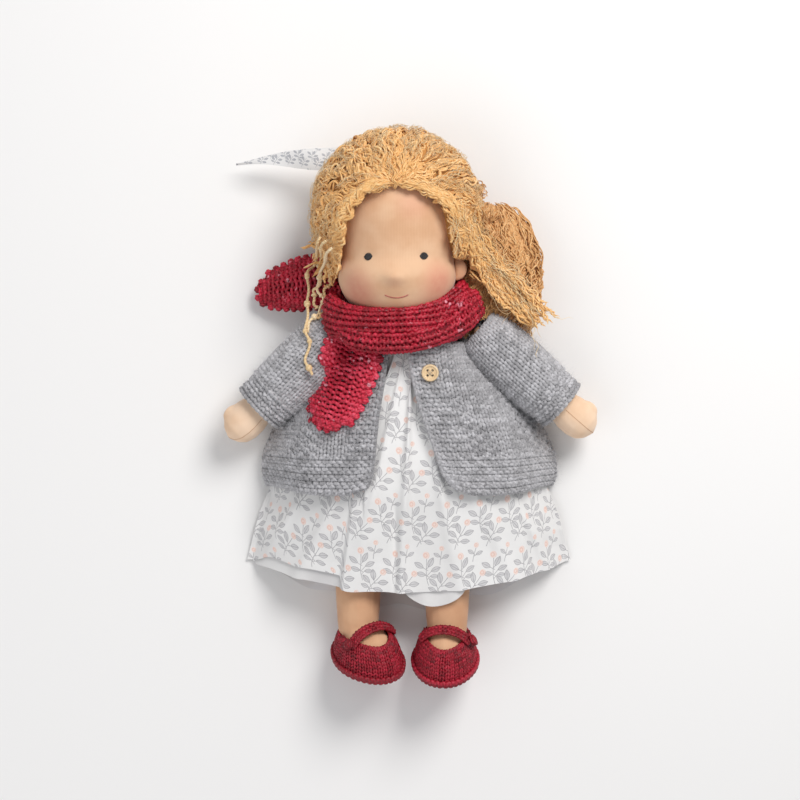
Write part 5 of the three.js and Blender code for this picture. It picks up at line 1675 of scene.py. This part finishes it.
def lock(base, n, r, strands, fat, amp, pitch, points, loose=0.5):
    """Strands that curl together along one guide line, as (strands, points, 3) with a shade for each."""
    base, n = even(np.concatenate([base, n], 1), points).reshape(points, 2, 3).transpose(1, 0, 2)
    n = unit(n)
    tangent = unit(np.gradient(base, axis=0))
    b = unit(np.cross(n, tangent))
    total = length_of(base)
    t = np.linspace(0, 1, points)
    shape = 0.55 + 0.45 * np.sin(np.clip(t * 1.25, 0, 1) * math.pi)
    phase, own_pitch, own_amp = r.uniform(0, TAU), pitch * r.uniform(0.8, 1.3), amp * r.uniform(0.7, 1.3)
    bends = wander(t * 5 + r.uniform(0, 20), int(r.integers(1e6)))
    out = []
    for _ in range(strands):
        a, q = r.uniform(0, TAU), math.sqrt(r.uniform(0, 1)) * fat
        off = n * math.cos(a) * q * 0.7 + b * math.sin(a) * q
        pace = r.uniform(1 - 0.07 * loose, 1 + 0.07 * loose)
        w = t * total / own_pitch * TAU * pace + phase + r.normal(0, loose) + bends
        size = own_amp * r.uniform(0.6, 1.3) * (0.3 + 0.7 * smooth(t * 3))
        stray = wander(t * 3 + r.uniform(0, 20), int(r.integers(1e6)))[:, None]
        line = base + off * shape[:, None] + stray * b * 1.2 * t[:, None] * fat * 0.4
        line = line + b * (size * np.sin(w))[:, None] + n * (size * 0.55 * np.cos(w * 1.07 + a))[:, None]
        first, last = int(r.uniform(0, 0.12) * points), points - int(r.uniform(0, 0.22) * points)
        out.append(even(line[first:last], points))
    return np.array(out), np.clip(r.uniform(0, 1) * 0.5 + r.uniform(0, 0.5, strands), 0, 1)


def strands_piece(name, locks, radius, sides, keep, paint, most, node="hair_cap", ends=None):
    """Strands as one piece, with the node hidden: riding on the head or, where it has ends, left where they
    lie.
    """
    paths = np.concatenate([l[0] for l in locks])[:most]
    tones = np.concatenate([l[1] for l in locks])[:most]
    paths[..., 2] = np.maximum(paths[..., 2], 1.2)
    sizes = radius * np.random.default_rng(len(paths)).uniform(0.8, 1.25, (len(paths), 1))
    obj = make(name, tube(paths, sizes, sides, keep=keep(paths), tone=tones[:, None]), [paint])
    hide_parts(node)
    if ends is None:
        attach(obj, "head")
    else:
        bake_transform(obj)


def cap_guide(root, r, long, bend=0.5):
    """A line over the cap from a root, away from the parting and down."""
    here, line = root.copy(), []
    flow = root - PART
    down = smooth((abs(root[0] - HEAD_X) - 16) / 30) * smooth((158 - root[1]) / 30) * 60
    flow = unit(flow + [0, -down, 0]) + r.normal(0, 0.16, 3)
    turn = r.normal(0, bend)
    steps = 14
    for i in range(steps):
        n = unit((here - CAP) / CAP_R**2)
        flow = unit(flow - (flow @ n) * n + turn * 0.1 * np.cross(n, flow))
        line.append(here)
        here = on_cap(here + flow * long / steps)
    line = np.array(line)
    return line, unit((line - CAP) / CAP_R**2)


def hair_ok(p):
    return ~face_side(p, -1.5) & ~over_ear(p) & ~inside_head(p, 0.2) & (p[..., 2] > 1.0) & (p[..., 1] > 83)


def cap_ok(p):
    return (p[:, 2] > 8) & (p[:, 1] > 88) & ~face_side(p, 0.5)


# The cap's shell is in painted shade, a darker gold that shows between the strands.
shade_backing = stuffed("hair_cap", 2.0, 6, 0.0)
bv = shade_backing["v"]
bv = bv - unit((bv - CAP) / CAP_R**2) * 2.8
# Its rim sinks into the head, so that only hair shows along the face.
from_axis = np.hypot(bv[:, 0] - HEAD_X, bv[:, 2] - HEAD_Z)
sunk = np.minimum(1, (head_radius(bv[:, 1]) - 2.6) / np.maximum(from_axis, 1.0))
near_face = smooth((1.2 - opening(bv[:, 0], bv[:, 1]) ** 0.385) / 0.07) * (bv[:, 2] > 40)
pull = 1 + (sunk - 1) * near_face
bv[:, 0] = HEAD_X + (bv[:, 0] - HEAD_X) * pull
bv[:, 2] = HEAD_Z + (bv[:, 2] - HEAD_Z) * pull
shade_backing["v"] = bv
cap = make("hair_backing", shade_backing, gold_shade_core)
settle(cap, "head", "hair_cap")

r = np.random.default_rng(70)
k = np.arange(3000)
level = 1 - 2 * (k + 0.5) / 3000
turn = k * math.pi * (3 - math.sqrt(5))
ball = np.stack([np.sqrt(1 - level**2) * np.cos(turn), level, np.sqrt(1 - level**2) * np.sin(turn)], 1)
roots = on_cap(CAP + ball * CAP_R)
roots = roots[cap_ok(roots)]
r.shuffle(roots)
left_roots = roots[roots[:, 0] < HEAD_X - 2]
right_roots = roots[roots[:, 0] >= HEAD_X - 8]
cap_locks = (
    ("hair_curls_a", left_roots[:88], 71, 4, 1.5, 2.5, 10.5, 48, 0.86, 5, 44, 0.5),
    ("hair_curls_b", left_roots[88:176], 72, 4, 1.5, 2.2, 8.8, 44, 0.78, 5, 44, 0.5),
    ("hair_curls_c", left_roots[176:276], 73, 4, 1.9, 2.0, 9.5, 40, 0.58, 5, 44, 0.7),
    ("hair_waves_a", right_roots[:86], 74, 5, 1.9, 1.7, 15.0, 60, 0.7, 5, 42, 0.5),
    ("hair_waves_b", right_roots[86:172], 75, 5, 1.9, 1.6, 13.0, 56, 0.62, 5, 42, 0.5),
    ("hair_waves_c", right_roots[172:272], 76, 5, 2.2, 1.9, 16.0, 58, 0.46, 4, 44, 0.7),
)
for name, places, seed, per, fat, amp, pitch, long, radius, sides, points, loose in cap_locks:
    r = np.random.default_rng(seed)
    locks = []
    for root in places:
        line, n = cap_guide(root, r, long * r.uniform(0.75, 1.3))
        lift = r.uniform(-2.2, 0.4)
        arch_up = np.sin(np.linspace(0, math.pi, len(line)))[:, None] * r.uniform(0.0, 2.4)
        locks.append(lock(line + n * (lift + arch_up), n, r, per, fat, amp, pitch, points, loose))
    strands_piece(name, locks, radius, sides, hair_ok, gold, 730)
r = np.random.default_rng(77)
locks = []
for root in roots[:370]:
    line, n = cap_guide(root, r, r.uniform(22, 48), 1.0)
    locks.append(lock(line + n * r.uniform(0.5, 4.0), n, r, 5, 3.0, 1.8, 10.0, 18, 1.5))
strands_piece("hair_fibres", locks, 0.13, 3, hair_ok, gold_haze, 1850)

# The hairline: short locks that start on the skin and turn back over the cap.
r = np.random.default_rng(78)
locks, fan = [], []
for turn in np.linspace(-0.12, math.pi + 0.12, 112):
    turn += r.normal(0, 0.02)
    c, sn = math.cos(turn), math.sin(turn)
    size = (abs(c / 40.5) ** 2.6 + abs(sn / 70.5) ** 2.6) ** -0.385 + r.uniform(-0.5, 4.0)
    x, y = HEAD_X + size * c, 80 + size * sn
    if y < 106:
        continue
    away = unit(np.array([math.copysign(abs(c / 41) ** 1.3, c), abs(sn / 71) ** 1.3]))
    side_way = math.copysign(min(1.0, abs(c) * 3.0), c)
    sweep = np.array([side_way * abs(away[1]), -abs(away[0])])
    way = unit(away * r.uniform(0.4, 1.0) * (1 - 0.85 * abs(c) ** 3) + sweep * r.uniform(0.2, 1.0))
    flat = np.array([x, y]) + np.linspace(0, 1, 14)[:, None] ** 1.15 * way * r.uniform(20, 30)
    top = np.maximum(cap_top(flat[:, 0], flat[:, 1]) * (np.arange(14) > 1), head_top(flat[:, 0], flat[:, 1]))
    z = evened(np.maximum(top, 20), 2)
    line = np.concatenate([flat, (z + r.uniform(-0.6, 1.4))[:, None]], 1)
    line[0, 2] = head_top(x, y) + 0.3
    n = unit((line - CAP) / CAP_R**2)
    locks.append(lock(line, n, r, 6, 1.9, 1.5, 10.5, 28, 0.7))
for k in range(64):
    # A fan of locks from the top of the parting.
    turn = -0.25 + 3.65 * (k + r.uniform(0, 1)) / 64
    way = np.array([math.cos(turn), math.sin(turn), 0.0])
    here = PART + [0, 3.5, 0] + way * r.uniform(0.0, 7.0)
    line = on_cap(np.array([on_cap(here) + way * q for q in np.linspace(0, r.uniform(24, 38), 14)]))
    n = unit((line - CAP) / CAP_R**2)
    fan.append(lock(line + n * r.uniform(-1.4, 0.4), n, r, 5, 1.9, 1.6, 13.0, 34, 0.6))
strands_piece("hair_fan", fan, 0.62, 5, hair_ok, gold, 320)
strands_piece("hair_hairline", locks, 0.62, 5, lambda p: ~inside_head(p) & ~over_ear(p), gold, 660)


def draped(plan, lift, count=26):
    """A guide over the head and cap from points given in plan, with a height where one is set."""
    flat = spline([q[:2] for q in plan], count)
    t = np.linspace(0, 1, count)
    own = np.interp(t, np.linspace(0, 1, len(plan)), [q[2] for q in plan])
    top = np.maximum(cap_top(flat[:, 0], flat[:, 1]), head_top(flat[:, 0], flat[:, 1]))
    z = np.maximum(np.where(top > 30, top, own), own) + lift
    z = evened(z, 3)
    line = np.concatenate([flat, z[:, None]], 1)
    out = unit((line - [HEAD_X, 0, 30]) * [1, 0, 1] + [0, 0, 20])
    return line, out


# Locks from the parting down both sides of the face.
r = np.random.default_rng(91)
locks = []
for k in range(15):
    s = k / 14
    j = lambda a: r.normal(0, a)
    plan = [
        (HEAD_X - 1 - 12 * s, 154 + 3 * s, 0),
        (-34 - 3 * s + j(1), 147 + 1 * s, 0),
        (-46 - 4 * s + j(1.5), 134 + j(1), 0),
        (-50.5 - 5 * s + j(1.5), 117 + j(1.5), 56),
        (-52.5 - 8 * s + j(2), 101 + j(2), 50),
        (-51.5 - 10 * s + j(2), 88 - 4 * s + j(3), 46),
    ]
    line, n = draped(plan, 0.6 + 1.6 * r.uniform())
    locks.append(lock(line + [-1.5, 1.5, 0], n, r, 5, 1.9, 2.3, 10.5, 46, 0.5))
for k in range(25):
    s = k / 24
    plan = [
        (HEAD_X + 1 + 13 * s, 154 + 3 * s, 0),
        (4 + 4 * s, 149.5 + 3 * s, 0),
        (20 + 6 * s + j(1), 139 + 2 * s, 0),
        (31.5 + 7 * s + j(1.2), 121 + 3 * s, 0),
        (40 + 12 * s + j(2), 103 + 5 * s + j(1), 52),
        (56 + 16 * s + j(2.5), 80 + 10 * s + j(2), 40 - 8 * s),
        (78 + 18 * s + j(4), 54 + 16 * s + j(3), 26 - 10 * s),
    ]
    line, n = draped(plan, 0.6 + 1.8 * r.uniform())
    locks.append(lock(line + [1.5, 1.5, 0], n, r, 6, 2.3, 2.3, 13.0, 54, 0.5))


def front_ok(p):
    above = (p[..., 0] > HEAD_X) | (p[..., 1] > 88 + 5 * np.sin(p[..., 0] * 0.9))
    return above & ~inside_head(p, 0.25) & ~in_sleeve(p, 0.4) & ~over_ear(p)


FRONT_ENDS = (40, 100, 50), (88, 64, 14)
strands_piece("hair_front_right", locks[:15], 0.8, 5, front_ok, gold, 500)
strands_piece("hair_front_left", locks[15:], 0.68, 5, front_ok, gold, 500, "hair_mass", FRONT_ENDS)


def mass_ok(p):
    return ~inside_head(p, 0.2) & ~in_sleeve(p, -3.0) & (p[..., 2] > 1.1)


# The loose mass on the doll's left.
MASS_ENDS = (34, 100, 40), (84, 70, 10)
# The mass's shell takes the same painted shade.
obj = make("hair_mass_backing", stuffed("hair_mass", 2.0, 8, -5.0), gold_shade_core)
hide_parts("hair_mass")
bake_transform(obj)
MASS, MASS_R = np.array([55.4, 95.9, 20.0]), np.array([31.0, 52.0, 20.6])
for name, seed, count, per, radius, amp, pitch, sides, points in (
    ("hair_mass_a", 81, 80, 5, 0.72, 2.8, 13.0, 5, 44),
    ("hair_mass_b", 82, 84, 5, 0.56, 2.6, 11.0, 5, 44),
    ("hair_mass_c", 83, 84, 6, 0.4, 3.2, 15.0, 4, 44),
):
    r = np.random.default_rng(seed)
    locks = []
    for _ in range(count):
        # A line over the mass from its top to its foot, turned about its long way.
        a = r.uniform(-0.6, 3.3)
        s = np.linspace(r.uniform(0.02, 0.35), r.uniform(0.75, 1.06), 16)
        lean = r.normal(0, 0.25)
        y = MASS[1] + MASS_R[1] * np.cos(s * math.pi)
        ring = np.sqrt(np.maximum(1 - np.cos(np.clip(s, 0, 1) * math.pi) ** 2, 0.02))
        deep = r.uniform(0.86, 1.06) + (0.22 * smooth((s - 0.35) / 0.5) if r.uniform() < 0.3 else 0.0)
        stray = 4.0 * wander(s * 5, int(r.integers(1e6)))
        x = MASS[0] + MASS_R[0] * ring * np.cos(a + lean * s) * deep + 14 * smooth((s - 0.6) / 0.5) + stray
        z = MASS[2] + MASS_R[2] * ring * np.sin(a + lean * s) * deep
        line = np.stack([x, y, np.maximum(z, 1.5)], 1)
        n = unit(np.stack([np.cos(a + lean * s), 0 * s, np.sin(a + lean * s) + 0.4], 1))
        locks.append(lock(line, n, r, per, 2.3, amp, pitch, points, 0.55))
    strands_piece(name, locks, radius, sides, mass_ok, gold_shaded, 720, "hair_mass", MASS_ENDS)

# Curls between the cap and the loose mass, and beyond it.
r = np.random.default_rng(96)
locks = []
for k in range(86):
    y0 = r.uniform(104, 178)
    x0 = CAP[0] + CAP_R[0] * math.sqrt(max(0.05, 1 - ((y0 - CAP[1]) / CAP_R[1]) ** 2)) * r.uniform(0.84, 0.97)
    far = r.uniform(14, 34) * (1.0 if y0 < 150 else 0.6)
    turn = r.uniform(-1.15, -0.1) if y0 > 128 else r.uniform(-1.3, -0.5)
    t = np.linspace(0, 1, 14)[:, None]
    z0 = r.uniform(22, 52)
    flow = np.array([math.cos(turn), math.sin(turn), 0])
    line = np.array([x0, y0, z0]) + t * far * flow - t**1.5 * [0, 4, z0 * 0.45]
    locks.append(lock(line, np.tile([0.2, 0.2, 1.0], (14, 1)), r, 4, 2.4, 3.0, 11.0, 40, 0.7))
clear = lambda p: ~inside_head(p, 0.3) & ~in_sleeve(p, 0.2) & ~over_ear(p) & (p[..., 2] > 1.1)
strands_piece("hair_side_curls", locks, 0.42, 4, clear, gold_shaded, 344, "hair_mass")

# Loose wisps.
r = np.random.default_rng(97)
locks = []
for _ in range(34):
    s = r.uniform()
    plan = [
        (18 + 22 * s, 150 - 20 * s, 0),
        (42 + 12 * s + r.normal(0, 3), 118 - 8 * s + r.normal(0, 4), 50),
        (62 + 16 * s + r.normal(0, 5), 88 + r.normal(0, 6), 34),
        (86 + r.normal(0, 10), 60 + r.normal(0, 12), 18),
    ]
    line, n = draped(plan, 2.5)
    locks.append(lock(line, n, r, 3, 4.5, 2.4, 14.0, 46, 1.5))
strands_piece("hair_wisps", locks, 0.17, 3, front_ok, gold_haze, 200, "hair_mass", FRONT_ENDS)

# The thin knobbly ends on the doll's right, over the scarf.
over = tree(
    "scarf_wrap", "scarf_fold", "scarf_tail_side", "scarf_tail_front",
    "sleeve_right", "cardigan_front_right", "hair_cap",
)
plans = (
    [
        (-65.4, 118.5), (-71.7, 103), (-76, 93.8), (-76, 76.2),
        (-76.7, 55), (-74.6, 44.5), (-76.7, 32.5), (-72.4, 22.6),
    ],
    [(-57.6, 111.5), (-65.4, 98.8), (-69, 86.8), (-65.4, 76.2), (-68.2, 67.7), (-73.9, 60.7), (-76.7, 53.6)],
    [(-68.2, 114.3), (-61.2, 103), (-59.8, 90.3), (-64, 81.8), (-62.6, 72.7), (-68.2, 63.5)],
    [(-62, 116), (-68, 104), (-66, 92), (-72, 82), (-70, 70)],
)
lines, radii = [], []
r = np.random.default_rng(95)
for plan in plans:
    flat = spline(plan, 180)
    s = np.linspace(0, 1, 180)
    flat = flat + 0.7 * np.stack([np.sin(s * 31 + r.uniform(0, 6)), np.cos(s * 27 + r.uniform(0, 6))], 1)
    z = np.array([top_of(over, q[0], q[1]) for q in flat])
    z = np.pad(np.maximum(z, 6), 12, mode="edge")
    z = np.max([z[k:k + len(s)] for k in range(25)], axis=0)
    at_y = flat[:, 1]
    over_scarf = 4.5 * smooth((at_y - 58) / 12) + 7.0 * smooth((at_y - 86) / 10)
    z = evened(z, 12) + 2.6 + over_scarf * smooth((124 - at_y) / 6)
    lines.append(np.concatenate([flat, z[:, None]], 1))
    beat = np.sin(s * 47 + r.uniform(0, 6)) * np.sin(s * 19 + r.uniform(0, 6))
    knob = np.clip(beat * 2.2 - 0.8, 0, 1) * smooth(s * 2.0)
    radii.append(1.0 + 1.4 * knob)
obj = make("hair_lock_strands", tube(np.array(lines), np.array(radii), 9), [pale_yarn])
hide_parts("hair_lock")
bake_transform(obj)

# Ribbon.
s = np.linspace(0, 1, 120)[:, None]
w = np.linspace(-1, 1, 22)[None]
tip, root = np.array([-129.0, 176.0]), np.array([-52.0, 180.0])
way = root - tip
square = np.array([-way[1], way[0]]) / np.hypot(*way)
half = 0.6 + 7.6 * smooth(s * 1.15) ** 0.8
x = tip[0] + way[0] * s + square[0] * half * w
y = tip[1] + way[1] * s + square[1] * half * w + 1.5 * np.sin(s * 5.0)
z = 14.6 + 20.0 * s + 1.5 * (1 - w**2) * s + 0.8 * np.sin(s * 11 + w)
g = np.stack([x, y, z + 0 * x], -1)
n = lattice_normals(g)
n *= np.sign(n[60, 11, 2])
ribbon_paint = cotton_paint(
    "ribbon cotton", True, 0.42, buds=False, ground="e4e2e1", leaf="a9aab0", ink="74757d"
)
laid_flat = np.stack([s * 78 + 0 * w, half * w, 0 * x], -1)
obj = cloth_piece("hair_ribbon_end", g, n, laid_flat, None, [ribbon_paint, plain_cotton])
settle(obj, "head", "hair_ribbon")

# Floor, light and camera.
floor_paint = Paint("floor", 0.9)
floor_paint.out.inputs["Base Color"].default_value = rgb("f1efed")
reach, level = 3000, -0.3
corners = [(-reach, -reach, level), (reach, -reach, level), (reach, reach, level), (-reach, reach, level)]
floor = make("floor", part(corners, [[0, 1, 2, 3]]), floor_paint.mat)
floor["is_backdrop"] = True


def area_light(name, at, aim, size, power, colour):
    data = bpy.data.lights.new(name, "AREA")
    data.shape, data.size, data.energy, data.color = "DISK", size, power, colour
    obj = bpy.data.objects.new(name, data)
    obj.location = at
    obj.rotation_euler = (Vector(aim) - Vector(at)).to_track_quat("-Z", "Y").to_euler()
    bpy.context.scene.collection.objects.link(obj)


area_light("key", (0.6, 0.9, 1.15), (0, 0, 0.02), 0.8, 19.0, (1.0, 0.99, 0.98))
area_light("fill", (-0.9, -0.5, 1.1), (0, 0, 0.02), 1.4, 5.0, (0.98, 0.985, 1.0))
area_light("front", (0.0, -1.6, 0.6), (0, 0, 0.05), 1.0, 3.0, (1.0, 1.0, 1.0))
sky = bpy.data.worlds.new("sky")
sky.use_nodes = True
sky.node_tree.nodes["Background"].inputs["Color"].default_value = (0.93, 0.96, 1.0, 1)
sky.node_tree.nodes["Background"].inputs["Strength"].default_value = 0.42
bpy.context.scene.world = sky
bpy.context.scene.view_settings.view_transform = "Standard"

camera = bpy.data.cameras.new("camera")
SENSOR, AWAY, PIXELS, PIXEL_WIDE = 36.0, 1500.0, 800, 0.731
camera.sensor_width = SENSOR
camera.lens = SENSOR * AWAY / (PIXELS * PIXEL_WIDE)
camera.clip_start, camera.clip_end = 0.05, 20.0
view = bpy.data.objects.new("camera", camera)
view.location = (-0.0075, 0.0046, AWAY * MM)
bpy.context.scene.collection.objects.link(view)
bpy.context.scene.camera = view

low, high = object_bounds()
